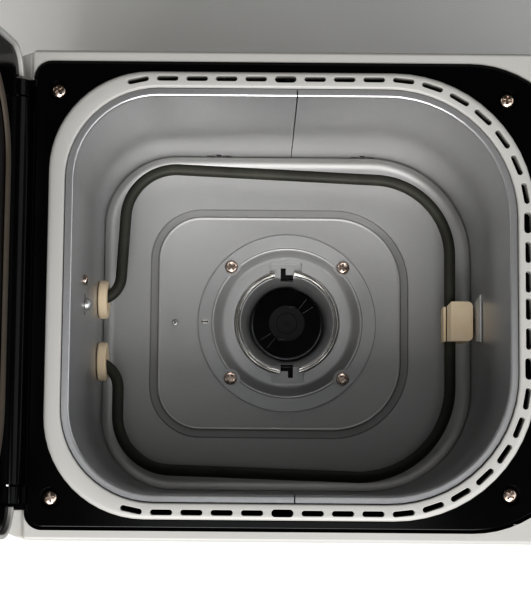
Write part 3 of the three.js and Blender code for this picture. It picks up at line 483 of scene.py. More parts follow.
def satin_steel(name, colour, second, rough, direction, grain=700, bump=0.000025, metal=0.92):
    """Rolled, coated sheet: faint lines along the rolling direction over soft patches."""
    return grained(name, colour, second, rough, metal, mottle=11, grain=grain, bump=bump,
                   stretch=direction, contrast=0.35)


chamber_satin = satin_steel("chamber_satin", (0.475, 0.475, 0.48), (0.535, 0.535, 0.54), (0.24, 0.34),
                            (1, 1, 0.15), metal=0.7)
chamber_half("chamber_wall_back_sheet", "chamber_wall_rear", False)
chamber_half("chamber_wall_front_sheet", "chamber_wall_front", True)

SQUARE = {"x": 67.5, "front": -71.5, "back": 80.5, "r_front": 44, "r_back": 30}


def round_loop(radius, z):
    """A circle with as many points as an outline, each at its outline point's bearing."""
    points = []
    for quarter in range(4):
        for step in range(CORNER_STEPS + 1):
            angle = math.pi / 2 * (quarter + (step + 0.5) / (CORNER_STEPS + 1))
            points.append(place(radius * math.cos(angle), radius * math.sin(angle), z))
    return points


edge_rise = [(-6.6 + 6.3 * math.sin(math.radians(a)), floor_z + 6.5 - 6.5 * math.cos(math.radians(a)))
             for a in range(90, -1, -10)]
top_side = [outline(CHAMBER, grow, z) for grow, z in edge_rise]
top_side += [outline(SQUARE, grow, floor_z + up)
             for grow, up in ((1, 0), (0.5, 0), (0.2, 0.08), (-0.1, 0.45), (-0.4, 0.53), (-3.9, 0.8),
                              (-4.1, 0.9), (-4.45, 1.5), (-4.75, 1.72), (-5.05, 1.72), (-5.35, 1.55),
                              (-5.7, 1.3), (-6, 1.25))]
top_side += [round_loop(56, floor_z + 2), round_loop(36, floor_z + 2)]
under_side = [round_loop(36, floor_z - 1.1), outline(SQUARE, 0, floor_z - 1.1),
              outline(CHAMBER, -7, floor_z - 1.1), outline(CHAMBER, -2.2, floor_z + 0.8),
              outline(CHAMBER, -0.3, floor_z + 4)]
pressed_floor = loft("pressed_floor", top_side + under_side, ring=True, sharp=50)
SCREW_HOLE = 2.3
screw_xy = [(x * 33, y * 33) for x, y in ((-1, 1), (1, 1), (-1, -1), (1, -1))]
rivet_y = 66.1
screw_holes = [prism(circle(SCREW_HOLE, x, y, 16), 0, 200) for x, y in screw_xy]
rivet_hole = prism(circle(1.2, 0, rivet_y, 20), floor_z - 9, 90)
carve(pressed_floor, solid("floor_holes", *screw_holes, rivet_hole), sharp=50)
floor_satin = grained("floor_satin", (0.55, 0.55, 0.54), (0.67, 0.67, 0.66), (0.43, 0.55), 0.78,
                      mottle=14, grain=1300, bump=0.00008, contrast=1.6)
hand_over(pressed_floor, floor_satin, "body", "floor_sheet", "chamber_floor")
rivet = turned("floor_rivet",
               [(0, floor_z), (1.1, floor_z), (1.1, floor_z + 1.9), (1.75, floor_z + 1.9),
                (1.8, floor_z + 2.1), (1.5, floor_z + 2.45), (1.1, floor_z + 2.5), (0.8, floor_z + 2.2),
                (0, floor_z + 2.1)], 0, rivet_y, 32)
hand_over(rivet, bright, "body", "bright_steel")

# ------------------------------------------------------------------ heating rod and its supports
# A steel-sheathed heating rod bent round the chamber 30 mm above the floor. It enters through two
# unglazed ceramic bushes in the back wall and rests at the front in a bored ceramic block.

ROD_R = 3.2
support_x, support_y = -1.6, -92.9


def rod_route(step=1.5):
    """The rod's centre line: straight runs joined by circular bends."""
    right, left = insulator_x["right"], insulator_x["left"]
    corners = [(right, 121, 0), (right, 96.2, 14), (87, 91.8, 29), (78.6, support_y, 44),
               (-91.6, support_y, 52), (-86, 96.2, 31), (left, 96.2, 15), (left, 121, 0)]
    route = [Vector(corners[0][:2])]
    for before, here, after in zip(corners, corners[1:], corners[2:]):
        at = Vector(here[:2])
        back, on = (Vector(before[:2]) - at).normalized(), (Vector(after[:2]) - at).normalized()
        half = back.angle(on) / 2
        start, end = at + back * here[2] / math.tan(half), at + on * here[2] / math.tan(half)
        centre = at + (back + on).normalized() * here[2] / math.sin(half)
        first, last = start - centre, end - centre
        steps = max(6, int(first.angle(last) * here[2] / step))
        turn = first.angle_signed(last)
        for i in range(steps + 1):
            route.append(centre + Matrix.Rotation(-turn * i / steps, 2) @ first)
    route.append(Vector(corners[-1][:2]))
    return route


def tube(name, route, radius, z, sides=28):
    """A round bar along a level route of (x, y) points."""
    loops = []
    for i, point in enumerate(route):
        ahead = (route[min(i + 1, len(route) - 1)] - route[max(i - 1, 0)]).normalized()
        aside = Vector((-ahead.y, ahead.x))
        loops.append([place(*(point + aside * radius * math.cos(2 * math.pi * k / sides)),
                            z + radius * math.sin(2 * math.pi * k / sides)) for k in range(sides)])
    return loft(name, loops)


heater_finish = grained("oxidised_sheath", (0.050, 0.050, 0.042), (0.085, 0.085, 0.070), (0.42, 0.62),
                        0.35, mottle=45, grain=1800, bump=0.00005, contrast=0.7)
hand_over(tube("heating_rod", rod_route(), ROD_R, element_z), heater_finish, "body", "heater_sheath",
          "heating_element")

ceramic = grained("unglazed_ceramic", (0.98, 0.80, 0.58), (1.0, 0.86, 0.65), (0.6, 0.8), mottle=55,
                  grain=1600, bump=0.00010, contrast=0.6)
wall_y = CHAMBER["back"] - 0.3


def lay_back(thing, x, z, y):
    """Turns a piece made upright on the drive axis so that its top points to the front, at (x, y, z)."""
    move = Matrix.Translation(place(x, y, z)) @ Matrix.Rotation(math.radians(90), 4, "X")
    thing.data.transform(move @ Matrix.Translation((0, -axis_y, 0)))
    return thing


for side, x in insulator_x.items():
    bush = turned("ceramic_bush_" + side,
                  [(3.9, -7), (6, -7), (6, 0), (10.4, 0), (11, 0.6), (11, 4.2), (10.7, 4.9), (10.1, 5.2),
                   (6.6, 5.2), (6.2, 5.0), (3.9, 0.4)], steps=48, sharp=40)
    hand_over(lay_back(bush, x, element_z, wall_y), ceramic, "body", "ceramic",
              "element_insulator_" + side)

block_half = 11.25
side_view = [(-105.1, -11), (-88.9, -11), (-88.9, 3.6), (-90.3, 3.6), (-90.3, -1), (-90.9, -1),
             (-90.9, 5.4), (-92.8, 9), (-105.1, 9)]
block = across("ceramic_rest", [(y, element_z + z) for y, z in side_view], support_x - block_half,
               support_x + block_half)
plan = [(support_x + block_half, -85), (support_x - block_half, -85),
        *arc(support_x - block_half + 3, -102.1, 3, 180, 270),
        *arc(support_x + block_half - 3, -102.1, 3, 270, 360)]
carve(block, solid("plan", prism(plan, 0, 200)), "INTERSECT")
carve(block, solid("bore", rod_across(ROD_R + 0.1, support_x - 30, support_x + 30, support_y, element_z)))
corner = [(support_x + block_half - 2.6, -80), (support_x + block_half - 2.6, -90.6),
          (support_x + block_half + 5, -97.5), (support_x + block_half + 5, -80)]
carve(block, solid("corner", prism(corner, element_z - 20, element_z + 20)))
hand_over(soften(block, 0.6, 3), ceramic, "body", "ceramic", "element_support")

bracket_y = CHAMBER["front"] + 0.3
bracket_shape = [(-9.6, -12), (9.6, -12), (13.3, 27), (-13.3, 27)]
bracket = solid("zinc_bracket", stack(*[[place(support_x + x, y, element_z + z) for x, z in bracket_shape]
                                        for y in (bracket_y, bracket_y + 1)]))
bracket_zinc = grained("bracket_zinc", (0.72, 0.72, 0.70), (0.80, 0.80, 0.78), (0.45, 0.6), 0.1,
                       mottle=30, grain=1500)
hand_over(soften(bracket, 0.25), bracket_zinc, "body", "zinc_steel", "support_bracket")

dome_curve = [(3.4 * math.cos(math.radians(a)), 0.8 + 3.2 * math.sin(math.radians(a)))
              for a in range(0, 81, 10)]
dome = turned("sensor_dome", [(0, -5), (2, -5), (2, 0.3), (3.4, 0.3), *dome_curve, (0, 4)], steps=32,
              sharp=50)
satin_cap = grained("satin_cap", (0.60, 0.60, 0.59), (0.70, 0.70, 0.69), (0.34, 0.46), 0.8, mottle=80,
                    grain=2200)
hand_over(lay_back(dome, sensor_x, sensor_z, CHAMBER["back"]), satin_cap, "body", "bright_steel",
          "temperature_sensor")

# ------------------------------------------------------------------ screws
# Nickel-plated pan-head screws with a cross recess: four hold the deck, four the drive socket, two
# the lid's inner frame and one the temperature sensor. Each stands at its own angle.

nickel = grained("warm_nickel", (0.50, 0.41, 0.35), (0.66, 0.56, 0.49), (0.16, 0.32), 1.0, mottle=500,
                 grain=2200, bump=0.00002)


def pan_screw(name, head=3.5, length=9, turn=0):
    """A screw standing on the worktop at the drive axis, the underside of its head at z = 0."""
    rise = 2.2
    crown = [(head * math.cos(math.radians(a)), 0.7 + (rise - 0.7) * math.sin(math.radians(a)))
             for a in range(0, 81, 10)]
    screw = turned(name,
                   [(0, -length), (1.9, -length), (1.9, 0), (head - 0.15, 0), (head, 0.2), *crown,
                    (0, rise)], steps=32, sharp=45)
    arm, slot = head * 0.62, 0.55
    cross = [(arm, slot), (slot, slot), (slot, arm), (-slot, arm), (-slot, slot), (-arm, slot),
             (-arm, -slot), (-slot, -slot), (-slot, -arm), (slot, -arm), (slot, -slot), (arm, -slot)]
    c, s = math.cos(math.radians(turn)), math.sin(math.radians(turn))
    turned_cross = [(x * c - y * s, x * s + y * c) for x, y in cross]
    carve(screw, solid("recess", prism(turned_cross, rise - 1.4, rise + 2)), sharp=45)
    return screw


def stand(thing, x, y, z):
    """Moves a piece from the drive axis to its place, in millimetres."""
    thing.data.transform(Matrix.Translation((x * MM, y * MM, z * MM)))
    return thing


deck_screws = []
for number in range(1, 5):
    low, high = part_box(f"deck_screw_{number}")
    deck_screws.append(((low.x + high.x) / 2 / MM, ((low.y + high.y) / 2 - axis_y) / MM))
for i, (x, y) in enumerate(deck_screws):
    screw = stand(pan_screw(f"nickel_deck_screw_{i + 1}", turn=23 * i + 12), x, y, rim - 2)
    hand_over(screw, nickel, "body", "screw_nickel", f"deck_screw_{i + 1}")
for i, (x, y) in enumerate(screw_xy):
    screw = stand(pan_screw(f"nickel_socket_screw_{i + 1}", 3.8, 12, turn=31 * i + 5), x, y,
                  floor_z + 3.7)
    hand_over(screw, nickel, "body", "screw_nickel", f"socket_screw_{i + 1}")
sensor_screw = lay_back(pan_screw("nickel_sensor_screw", 2.8, 5, 20), sensor_screw_x, sensor_screw_z,
                        wall_y)
hand_over(sensor_screw, nickel, "body", "screw_nickel", "sensor_screw")

# ------------------------------------------------------------------ pan socket and drive dog
# A grey die casting screwed to the floor over a gasket takes the foot of the bread pan. The pan
# twists under a bright steel ring let into it, and its coupling drops onto the black driven dog.

seat = floor_z + 7
disc = floor_z + 3.4
profile = [(21, 55), (26, 55), (26, floor_z + 2.3), (52.5, floor_z + 2.3), (52.5, disc - 0.3),
           (52.3, disc - 0.08), (52, disc), (44.9, disc), (44.6, disc + 0.1), (44.3, disc + 0.45),
           (44, disc + 0.55), (43.7, disc + 0.45), (43.4, disc + 0.2), (43, disc + 0.3),
           (42.4, disc + 0.7), (39.2, seat - 0.9), (38, seat - 0.25), (36.8, seat), (31.1, seat),
           (30.8, seat - 0.3), (30.7, seat - 3.3), (27.7, seat - 3.3), (27.7, seat - 0.6),
           (27.2, seat - 0.8), (24.4, seat - 5.2), (22.8, seat - 8.4), (21.9, seat - 11),
           (21.2, seat - 14), (21, seat - 17)]
base_casting = turned("socket_casting", profile, steps=120, sharp=28)
scallops = [prism(circle(5.7, x, y, 40), disc + 0.05, 200) for x, y in screw_xy]
carve(base_casting, solid("scallops", *scallops), sharp=28)
carve(base_casting, solid("screw_holes", *screw_holes), sharp=28)


def both_sides(x0, x1, y0, y1, z0, z1):
    """A block and its copy turned half round the drive axis."""
    return [box(x0, x1, y0, y1, z0, z1), box(-x1, -x0, -y1, -y0, z0, z1)]


carve(base_casting, solid("bridges", *both_sides(26.5, 31.5, -5.5, 9, seat - 5, seat - 3.1)), "UNION",
      sharp=28)
recess = [*arc(34.1, 9.2, 1.2, 0, 90), (26, 10.4), (26, -8.7), *arc(34.1, -7.5, 1.2, 270, 360)]
carve(base_casting, solid("recess_1", prism(recess, seat - 3, 200)), sharp=28)
carve(base_casting, solid("recess_2", prism([(-x, -y) for x, y in recess], seat - 3, 200)), sharp=28)
carve(base_casting, solid("key_bars", *both_sides(24.7, 32.4, 0.9, 3.8, 40, 200)), sharp=28)
carve(base_casting, solid("key_feet", *both_sides(24.7, 28.5, -3.5, 3, 40, 200)), sharp=28)
hand_over(base_casting, cast, "body", "cast_socket", "socket_base")
peg = soften(solid("locating_peg", prism(rounded(1.1, 2.3, 1.05, 0.4, 48.2), disc - 0.6, disc + 0.7)),
             0.4, 3)
hand_over(peg, bright, "body", "bright_steel")

gasket = turned("socket_gasket",
                [(26.3, floor_z - 0.4), (35.7, floor_z - 0.4), (35.7, floor_z + 2.1),
                 (26.3, floor_z + 2.1)], steps=96)
hand_over(gasket, rubber, "body", "rubber")

ring_low = seat - 3
steel_ring = turned("locking_ring",
                    [(27.9, ring_low), (30.6, ring_low), (30.6, ring_low + 3.2), (30.3, ring_low + 3.7),
                     (29.9, ring_low + 3.9), (29.5, ring_low + 3.7), (29.2, ring_low + 3.3),
                     (28.9, ring_low + 3.5), (28.5, ring_low + 3.6), (28.1, ring_low + 3.4),
                     (27.9, ring_low + 3)], steps=120, sharp=50)
carve(steel_ring, solid("gaps", *both_sides(20, 50, -4, 7.4, 0, 200)), sharp=50)
hand_over(steel_ring, bright, "body", "bright_steel", "socket_ring")

DOG_R = 20.1


def dog_outline():
    """The dog's upper step: a disc with two notches down to the hub."""
    points = []
    for start, end in ((-15, 123), (165, 303)):
        points += arc(0, 0, DOG_R, start, end, 40)
        points += arc(0, 0, 10.7, end, end + 42, 10)
    return points


dog = solid("drive_dog", prism(circle(DOG_R, steps=96), 60, 63.5))
carve(dog, solid("upper", prism(dog_outline(), 63, 68)), "UNION")
rib = [(10.2, -0.5), (19.4, -0.5), (19.4, 0.5), (10.2, 0.5)]
ribs = [prism([Matrix.Rotation(math.radians(turn), 2) @ Vector(corner) for corner in rib], 63, 65.6)
        for turn in (-38, 142)]
carve(dog, solid("ribs", *ribs), "UNION")
dog_black = grained("drive_dog_black", (0.003, 0.003, 0.0035), (0.006, 0.006, 0.006), (0.12, 0.26),
                    mottle=80, grain=1500, bump=0.00003, shine=0.3)
hand_over(soften(dog, 0.35, 2), dog_black, "drive", "matte_black_plastic", "drive_coupling")
hub = turned("drive_dog_hub",
             [(0, 67), (10.7, 67), (10.7, 68.3), (10.4, 68.6), (6.4, 68.6), (6.3, 68.2), (5.9, 68.2),
              (5.8, 68.6), (1.2, 68.6), (1.1, 68.3), (0, 68.3)], steps=64)
hub_grey = grained("drive_hub_grey", (0.016, 0.016, 0.016), (0.028, 0.028, 0.028), (0.55, 0.7), mottle=80,
                   grain=1500, bump=0.00008)
hand_over(hub, hub_grey, "drive", "matte_black_plastic")


def glint_strip(start, end, z, wide=0.17):
    """A narrow lighter strip, a painted highlight along an edge, between two (x, y) points, and its copy
    turned half round the axis.
    """
    start, end = Vector(start), Vector(end)
    aside = (end - start).orthogonal().normalized() * wide
    corners = [start - aside, end - aside, end + aside, start + aside]
    if (end - start).cross(aside) < 0:
        corners.reverse()
    return [prism([(turn * p.x, turn * p.y) for p in corners], z - 0.3, z + 0.04) for turn in (1, -1)]


# Lighter grey strips on the dog's notch edge, rib top and hub edge: painted highlights where these edges
# would glint.
painted_glints = glint_strip((6.0, -9.4), (9.9, -15.4), 68) + glint_strip((8.6, -6.9), (14.6, -11.6), 65.6)
painted_glints += glint_strip((9.4, -1.6), (9.9, -4.9), 68.6, 0.16)
dog_glint_strips = solid("drive_dog_painted_glints", *painted_glints)
glint_grey = grained("painted_glint_grey", (0.08, 0.08, 0.08), (0.20, 0.20, 0.195), (0.4, 0.6), mottle=300,
                    grain=1500)
hand_over(dog_glint_strips, glint_grey, "drive", "matte_black_plastic")

# ------------------------------------------------------------------ deck and chamber bezel
# The deck is a polished black moulding with recessed screw wells and two ears for the hinge pins. The
# off-white bezel snaps into it round the chamber and breathes through a row of small slots.

EAR_R, PIN_BORE, PIN_R = 7.5, 2.8, 2.5
BEZEL = {"x": 110.9, "front": -120.7, "back": 120.3, "r_front": 70, "r_back": 50}
deck = loft("deck_moulding",
            [outline(DECK, 1.5, rim - 4), outline(DECK, 1.5, rim - 1.5), outline(DECK, 1.2, rim - 0.9),
             outline(DECK, 0.2, rim - 0.1), outline(DECK, -0.3, rim), outline(BEZEL, 0.4, rim),
             outline(BEZEL, 0.4, rim - 4)], ring=True)
carve(deck, solid("hinge_bed", box(-106.6, 106.6, DECK["back"] - 1, 147, rim - 4, rim - 3)), "UNION")
for side in (-1, 1):
    x0, x1 = sorted((side * 95.5, side * 103.5))
    ear = [(hinge_y - EAR_R, rim - 4), (hinge_y + EAR_R, rim - 4),
           *arc(hinge_y, hinge_z, EAR_R, 0, 180, 16)]
    carve(deck, across("ear", ear, x0, x1), "UNION")
carve(deck, solid("pin_bores", rod_across(PIN_BORE, -110, 110, hinge_y, hinge_z)))
wells = [prism(circle(5.2, x, y, 40), rim - 2.3, rim + 5) for x, y in deck_screws]
carve(deck, solid("wells", *wells))
well_holes = [prism(circle(SCREW_HOLE, x, y, 16), rim - 9, rim - 1) for x, y in deck_screws]
carve(deck, solid("well_holes", *well_holes))
gloss_black = grained("polished_black", (0.0025, 0.0025, 0.0027), (0.0045, 0.0045, 0.0045), (0.08, 0.16),
                      mottle=25, grain=1800, bump=0.000004, shine=0.2)
hand_over(soften(deck, 0.3, 2, 50), gloss_black, "body", "gloss_black_plastic", "top_deck")


def along_rim(distance, grow):
    """Place and heading on the chamber's outline, from the middle of the front towards the right."""
    r_front, r_back = CHAMBER["r_front"] + grow, CHAMBER["r_back"] + grow
    flat = CHAMBER["x"] - CHAMBER["r_front"]
    straight_from, straight_to = CHAMBER["front"] + CHAMBER["r_front"], CHAMBER["back"] - CHAMBER["r_back"]
    if distance < flat:
        return distance, CHAMBER["front"] - grow, 0
    distance -= flat
    if distance < r_front * math.pi / 2:
        turn = distance / r_front
        return flat + r_front * math.sin(turn), straight_from - r_front * math.cos(turn), turn
    distance -= r_front * math.pi / 2
    if distance < straight_to - straight_from:
        return CHAMBER["x"] + grow, straight_from + distance, math.pi / 2
    turn = (distance - (straight_to - straight_from)) / r_back
    return (CHAMBER["x"] - CHAMBER["r_back"] + r_back * math.cos(turn),
            straight_to + r_back * math.sin(turn), math.pi / 2 + turn)


SLOT_HALF, SLOT_PITCH, SLOTS_A_SIDE, WIDE_SLOTS = 5.3, 14.7, 19, (2, 13)
slot_cutters = []
for k in range(SLOTS_A_SIDE):
    half_width = 1.8 if k in WIDE_SLOTS else 1.3
    x, y, heading = along_rim(6.7 + SLOT_PITCH * k, 8.8)
    for side in (-1, 1):
        c, s = math.cos(side * heading), math.sin(side * heading)
        rings = []
        for grow, z in ((0, rim - 10), (0, rim + 1.95), (0.35, rim + 2.3), (0.35, rim + 9)):
            capsule = rounded(SLOT_HALF + grow, half_width + grow, half_width + grow - 0.01, steps=5)
            rings.append([place(side * x + a * c - b * s, y + a * s + b * c, z) for a, b in capsule])
        slot_cutters.append(stack(*rings))
bezel_rise = [(rim - 5, 4.3), (rim + 1.3, 4.3), (rim + 1.75, 4.45), (rim + 2.05, 4.8), (rim + 2.2, 5.3)]
bezel_fall = [(-2.6, rim + 2.2), (-1.6, rim + 2.1), (-0.7, rim + 1.75), (-0.15, rim + 1.2),
              (0, rim + 0.5), (0, rim - 5)]
bezel_loops = [outline(CHAMBER, grow, z) for z, grow in bezel_rise]
bezel_loops += [outline(BEZEL, grow, z) for grow, z in bezel_fall]
bezel = loft("bezel_moulding", bezel_loops, ring=True)
carve(bezel, solid("slots", *slot_cutters), sharp=40)
hand_over(bezel, casing_white, "body", "off_white_plastic", "chamber_bezel")

# ------------------------------------------------------------------ control panel
# A gloss black plate let into the sloping front, with a window over a liquid-crystal display and
# six spring-loaded keys that travel 1.5 mm. The signs on the keys are plain arrows and bars.

KEYS = {"menu_button": (-82, 0, 8, 8), "loaf_button": (-54, 10.5, 9, 5),
        "crust_button": (-54, -10.5, 9, 5), "timer_up_button": (54, 10.5, 9, 5),
        "timer_down_button": (54, -10.5, 9, 5), "start_button": (82, 0, 8, 8)}
DISPLAY = (0, 3, 33, 15)
plate = solid("control_plate", on_panel(prism(rounded(98, 29, 10), -2, 0.5)))
holes = [on_panel(prism(rounded(w + 0.4, h + 0.4, h + 0.39, x, y), -9, 9))
         for x, y, w, h in KEYS.values()]
window_hole = rounded(DISPLAY[2] + 0.4, DISPLAY[3] + 0.4, 3, DISPLAY[0], DISPLAY[1])
holes.append(on_panel(prism(window_hole, -9, 9)))
carve(plate, solid("holes", *holes))
hand_over(soften(plate, 0.35, 2), gloss_black, "body", "gloss_black_plastic", "control_panel")

key_grey = grained("key_grey", (0.36, 0.36, 0.35), (0.42, 0.42, 0.41), (0.4, 0.55), mottle=60, grain=2000,
                   bump=0.00003)
key_red = grained("key_red", (0.42, 0.05, 0.03), (0.50, 0.07, 0.045), (0.38, 0.5), mottle=60, grain=2000,
                  bump=0.00003)
sign_white = grained("sign_white", (0.72, 0.72, 0.70), (0.78, 0.78, 0.76), (0.4, 0.5), mottle=80,
                     grain=2000)
SIGNS = {"menu_button": [[(-3, 1.6 + i), (3, 1.6 + i), (3, 2.4 + i), (-3, 2.4 + i)] for i in (-4, -2, 0)],
         "loaf_button": [[(-1.6, -1.2), (1.6, -1.2), (2.2, 0.8), (1.4, 1.6), (-1.4, 1.6), (-2.2, 0.8)]],
         "crust_button": [[(-3, -0.5), (3, -0.5), (3, 0.5), (-3, 0.5)]],
         "timer_up_button": [[(-2.2, -1.2), (2.2, -1.2), (0, 1.8)]],
         "timer_down_button": [[(-2.2, 1.2), (0, -1.8), (2.2, 1.2)]],
         "start_button": [[(-1.6, -2.4), (2.6, 0), (-1.6, 2.4)]]}
for node, (x, y, w, h) in KEYS.items():
    cap = solid("cap_of_" + node, on_panel(prism(rounded(w, h, h - 0.01, x, y), -5.5, 2)))
    carve(cap, solid("skirt", on_panel(prism(rounded(w + 1.3, h + 1.3, h / 2, x, y), -4.4, -2.7))),
          "UNION")
    hand_over(soften(cap, 0.6, 3), key_red if node == "start_button" else key_grey, node,
              "button_plastic", node)
    strokes = [prism([(x + a, y + b) for a, b in shape], 1.8, 2.05) for shape in SIGNS[node]]
    sign = solid("sign_on_" + node, *[on_panel(stroke) for stroke in strokes])
    hand_over(sign, sign_white, node, "button_plastic")


def clear_sheet(name, colour, roughness, alpha):
    """Glass or clear plastic, smoked a little and faintly dusty."""
    material = grained(name, colour, [c * 1.3 for c in colour], (roughness, roughness + 0.06), mottle=30,
                       grain=900, bump=0.000002)
    shader = material.node_tree.nodes["Principled BSDF"]
    shader.inputs["Transmission Weight"].default_value = alpha
    shader.inputs["IOR"].default_value = 1.48
    return material


window_outline = rounded(DISPLAY[2], DISPLAY[3], 2.8, DISPLAY[0], DISPLAY[1])
lens = solid("display_window", on_panel(prism(window_outline, -1.6, 0.8)))
hand_over(soften(lens, 0.3, 2), clear_sheet("clear_lens", (0.8, 0.84, 0.82), 0.05, 0.95), "body",
          "clear_lens", "display_lens")
lcd_green = grained("lcd_face", (0.30, 0.36, 0.26), (0.34, 0.40, 0.30), (0.25, 0.35), mottle=40,
                    grain=1500)
face = solid("lcd_face", on_panel(prism(rounded(29, 11.5, 1, DISPLAY[0], DISPLAY[1]), -2.9, -2.6)))
hand_over(face, lcd_green, "body", "grey_plastic")
SEGMENTS = {"top": (0, 6, 3, 0.7), "middle": (0, 0, 3, 0.7), "bottom": (0, -6, 3, 0.7),
            "upper_left": (-3.4, 3, 0.7, 2.4), "upper_right": (3.4, 3, 0.7, 2.4),
            "lower_left": (-3.4, -3, 0.7, 2.4), "lower_right": (3.4, -3, 0.7, 2.4)}
THREE = ("top", "middle", "bottom", "upper_right", "lower_right")
ZERO = ("top", "bottom", "upper_left", "upper_right", "lower_left", "lower_right")
digits = []
for offset, lit in ((-14, THREE), (3, ZERO), (15, ZERO)):
    for key in lit:
        sx, sy, w, h = SEGMENTS[key]
        digits.append(on_panel(box(offset + sx - w, offset + sx + w, DISPLAY[1] + sy - h,
                                   DISPLAY[1] + sy + h, -2.6, -2.5)))
for dot_y in (-2.5, 2.5):
    digits.append(on_panel(prism(circle(0.8, -6, DISPLAY[1] + dot_y, 12), -2.6, -2.5)))
time_shown = solid("lcd_digits", *digits)
hand_over(time_shown, dog_black, "body", "matte_black_plastic")

# ------------------------------------------------------------------ mains inlet
# A black appliance inlet let into the back, low down on the right: a flanged shell with three flat
# brass blades. The lead itself isn't part of the machine.

shell = solid("inlet_shell",
              box(inlet_x - 17.5, inlet_x + 17.5, 150.3, 152.3, inlet_z - 12, inlet_z + 12))
carve(shell, solid("body", box(inlet_x - 13.5, inlet_x + 13.5, 130, 151, inlet_z - 10, inlet_z + 10)),
      "UNION")
carve(shell, solid("socket", box(inlet_x - 12.2, inlet_x + 12.2, 132, 160, inlet_z - 8.4, inlet_z + 8.4)))
hand_over(soften(shell, 0.7, 3), black_plastic, "body", "matte_black_plastic", "power_inlet")
brass = grained("brass_blade", (0.60, 0.45, 0.20), (0.68, 0.52, 0.26), (0.2, 0.35), 1.0, mottle=90,
                grain=1500)
blades = solid("inlet_blades",
               *[box(inlet_x + dx - 1, inlet_x + dx + 1, 131.5, 147.3, inlet_z + dz - 2, inlet_z + dz + 2)
                 for dx, dz in ((-7, -1.5), (0, 1.2), (7, -1.5))])
hand_over(soften(blades, 0.3, 2), brass, "body", "bright_steel")

# ------------------------------------------------------------------ lid
# A domed off-white shell over a black inner frame, hinged at the back on two steel pins. The frame
# carries a dished metal liner, a silicone seal and two panes of smoked glass. It is drawn shut and
# swung open round the hinge pins.

LID = {"x": 120, "front": -145, "back": 136, "r_front": 58, "r_back": 16}
LINER = {"x": 99, "front": -107, "back": 107, "r_front": 58, "r_back": 40}
WINDOW = {"x": 62, "front": -52, "back": 40, "r_front": 14, "r_back": 14}
lid_joint = next(joint for joint in frame["joints"] if joint["name"] == "lid_hinge")
hinge_line = Vector(lid_joint["pos_m"])
swing = Matrix.Translation(hinge_line) @ Matrix.Rotation(math.radians(-lid_joint["range_deg"][1]), 4, "X")
swing = swing @ Matrix.Translation(-hinge_line)


def hang(thing, material, slot, *nodes):
    """Swings a lid piece open and hands it over."""
    thing.data.transform(swing)
    return hand_over(thing, material, "lid", slot, *nodes)


LID_LOW, LID_TOP, LID_ROUND = 234.8, 274, 12


def lid_form(name, inset, low):
    """The lid's domed outer form, `inset` inside its skin."""
    edge = [(-inset - LID_ROUND * (1 - math.cos(math.radians(a))),
             LID_TOP - LID_ROUND * 0.85 * (1 - math.sin(math.radians(a))) - inset)
            for a in range(0, 91, 10)]
    return loft(name, [outline(LID, -inset, low), *[outline(LID, grow, z) for grow, z in edge]])


hinge_room = box(-105, 105, hinge_y - 9, hinge_y + 20, 200, hinge_z + 9)
lid_shell = lid_form("lid_cover", 0, LID_LOW)
carve(lid_shell, lid_form("inside", WALL, LID_LOW - 9))
carve(lid_shell, solid("hinge_room", hinge_room))
carve(lid_shell, loft("window_cut", [outline(WINDOW, 0.4, 200), outline(WINDOW, 0.4, 300)]))
hang(soften(lid_shell, 0.6, 3, 50), casing_white, "off_white_plastic", "lid_shell")

frame_edge = -WALL - 0.4
LID_SCREW = (70, -131)
inner = loft("lid_frame",
             [outline(LID, frame_edge - 0.8, 236.6), outline(LID, frame_edge, 237.4),
              outline(LID, frame_edge, 247), outline(LID, frame_edge - 2, 247),
              outline(LID, frame_edge - 2, 239), outline(LINER, 0, 239), outline(LINER, 0, 237.4),
              outline(LINER, 0.8, 236.6)], ring=True)
carve(inner,
      solid("ear_room", box(-105, -94, hinge_y - 9, 200, 0, 400), box(94, 105, hinge_y - 9, 200, 0, 400)))
carve(inner, solid("back_room", box(-105, 105, hinge_y - 2, 200, 0, 400)))
carve(inner, solid("barrel", rod_across(8, -94.5, 94.5, hinge_y, hinge_z, 48)), "UNION")
carve(inner, solid("bores", *[rod_across(PIN_BORE, x, x + 19, hinge_y, hinge_z) for x in (-99, 80)]))
carve(inner,
      solid("screw_holes",
            *[prism(circle(SCREW_HOLE, side * LID_SCREW[0], LID_SCREW[1], 16), 200, 300)
              for side in (-1, 1)]))
hang(soften(inner, 0.4, 2, 50), gloss_black, "gloss_black_plastic", "lid_inner_frame")

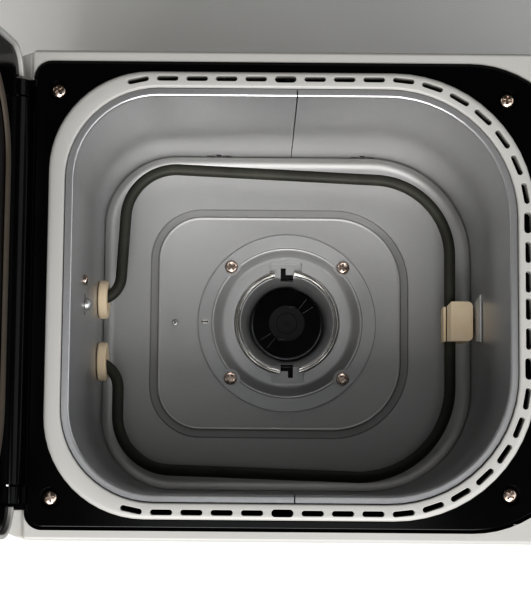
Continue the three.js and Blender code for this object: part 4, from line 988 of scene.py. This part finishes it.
liner = loft("lid_dished_liner",
             [outline(LINER, 5, 239.3), outline(LINER, 0, 239.3), outline(LINER, -0.8, 239.7),
              outline(LINER, -1.6, 240.8), outline(LINER, -12.6, 254.6), outline(LINER, -13.6, 255.6),
              outline(LINER, -15, 256), outline(WINDOW, 2, 256), outline(WINDOW, -5, 256),
              outline(WINDOW, -6, 256.3), outline(WINDOW, -6, 257), outline(LINER, -15.4, 257),
              outline(LINER, -2.6, 241.6), outline(LINER, -1.2, 240.3), outline(LINER, 5, 240.3)],
             ring=True, sharp=40)
hang(liner, chamber_satin, "chamber_sheet", "lid_liner")

smoked = clear_sheet("smoked_glass", (0.10, 0.10, 0.105), 0.03, 0.9)
hang(soften(loft("lid_outer_pane", [outline(WINDOW, 0, 270), outline(WINDOW, 0, 274)]), 0.5, 2), smoked,
     "tinted_glass", "lid_window")
hang(soften(loft("lid_inner_pane", [outline(WINDOW, 2, 257.3), outline(WINDOW, 2, 260.3)]), 0.4, 2),
     smoked, "tinted_glass", "lid_inner_glass")
silicone = grained("silicone_seal", (0.085, 0.070, 0.055), (0.12, 0.10, 0.08), (0.55, 0.7), mottle=30,
                   grain=1500, bump=0.00004)
seal_loops = [(5.5, 235.3), (6.2, 234.9), (9.8, 234.9), (10.5, 235.3), (10.5, 236.3), (5.5, 236.3)]
hang(loft("lid_silicone_seal", [outline(CHAMBER, grow, z) for grow, z in seal_loops], ring=True),
     silicone, "silicone", "lid_seal")
for name, side in (("left", -1), ("right", 1)):
    screw = pan_screw("nickel_lid_screw_" + name, length=8, turn=40 * side)
    to_axis = Matrix.Translation((0, axis_y, 0))
    screw.data.transform(to_axis @ Matrix.Rotation(math.pi, 4, "X") @ to_axis.inverted())
    hang(stand(screw, side * LID_SCREW[0], LID_SCREW[1], 236.3), nickel, "screw_nickel",
         "lid_screw_" + name)
for name, x0 in (("left", -102.5), ("right", 86.5)):
    pin = soften(solid("steel_pin_" + name, rod_across(PIN_R, x0, x0 + 16, hinge_y, hinge_z)), 0.4, 2)
    hand_over(pin, bright, "body", "bright_steel", "hinge_pin_" + name)
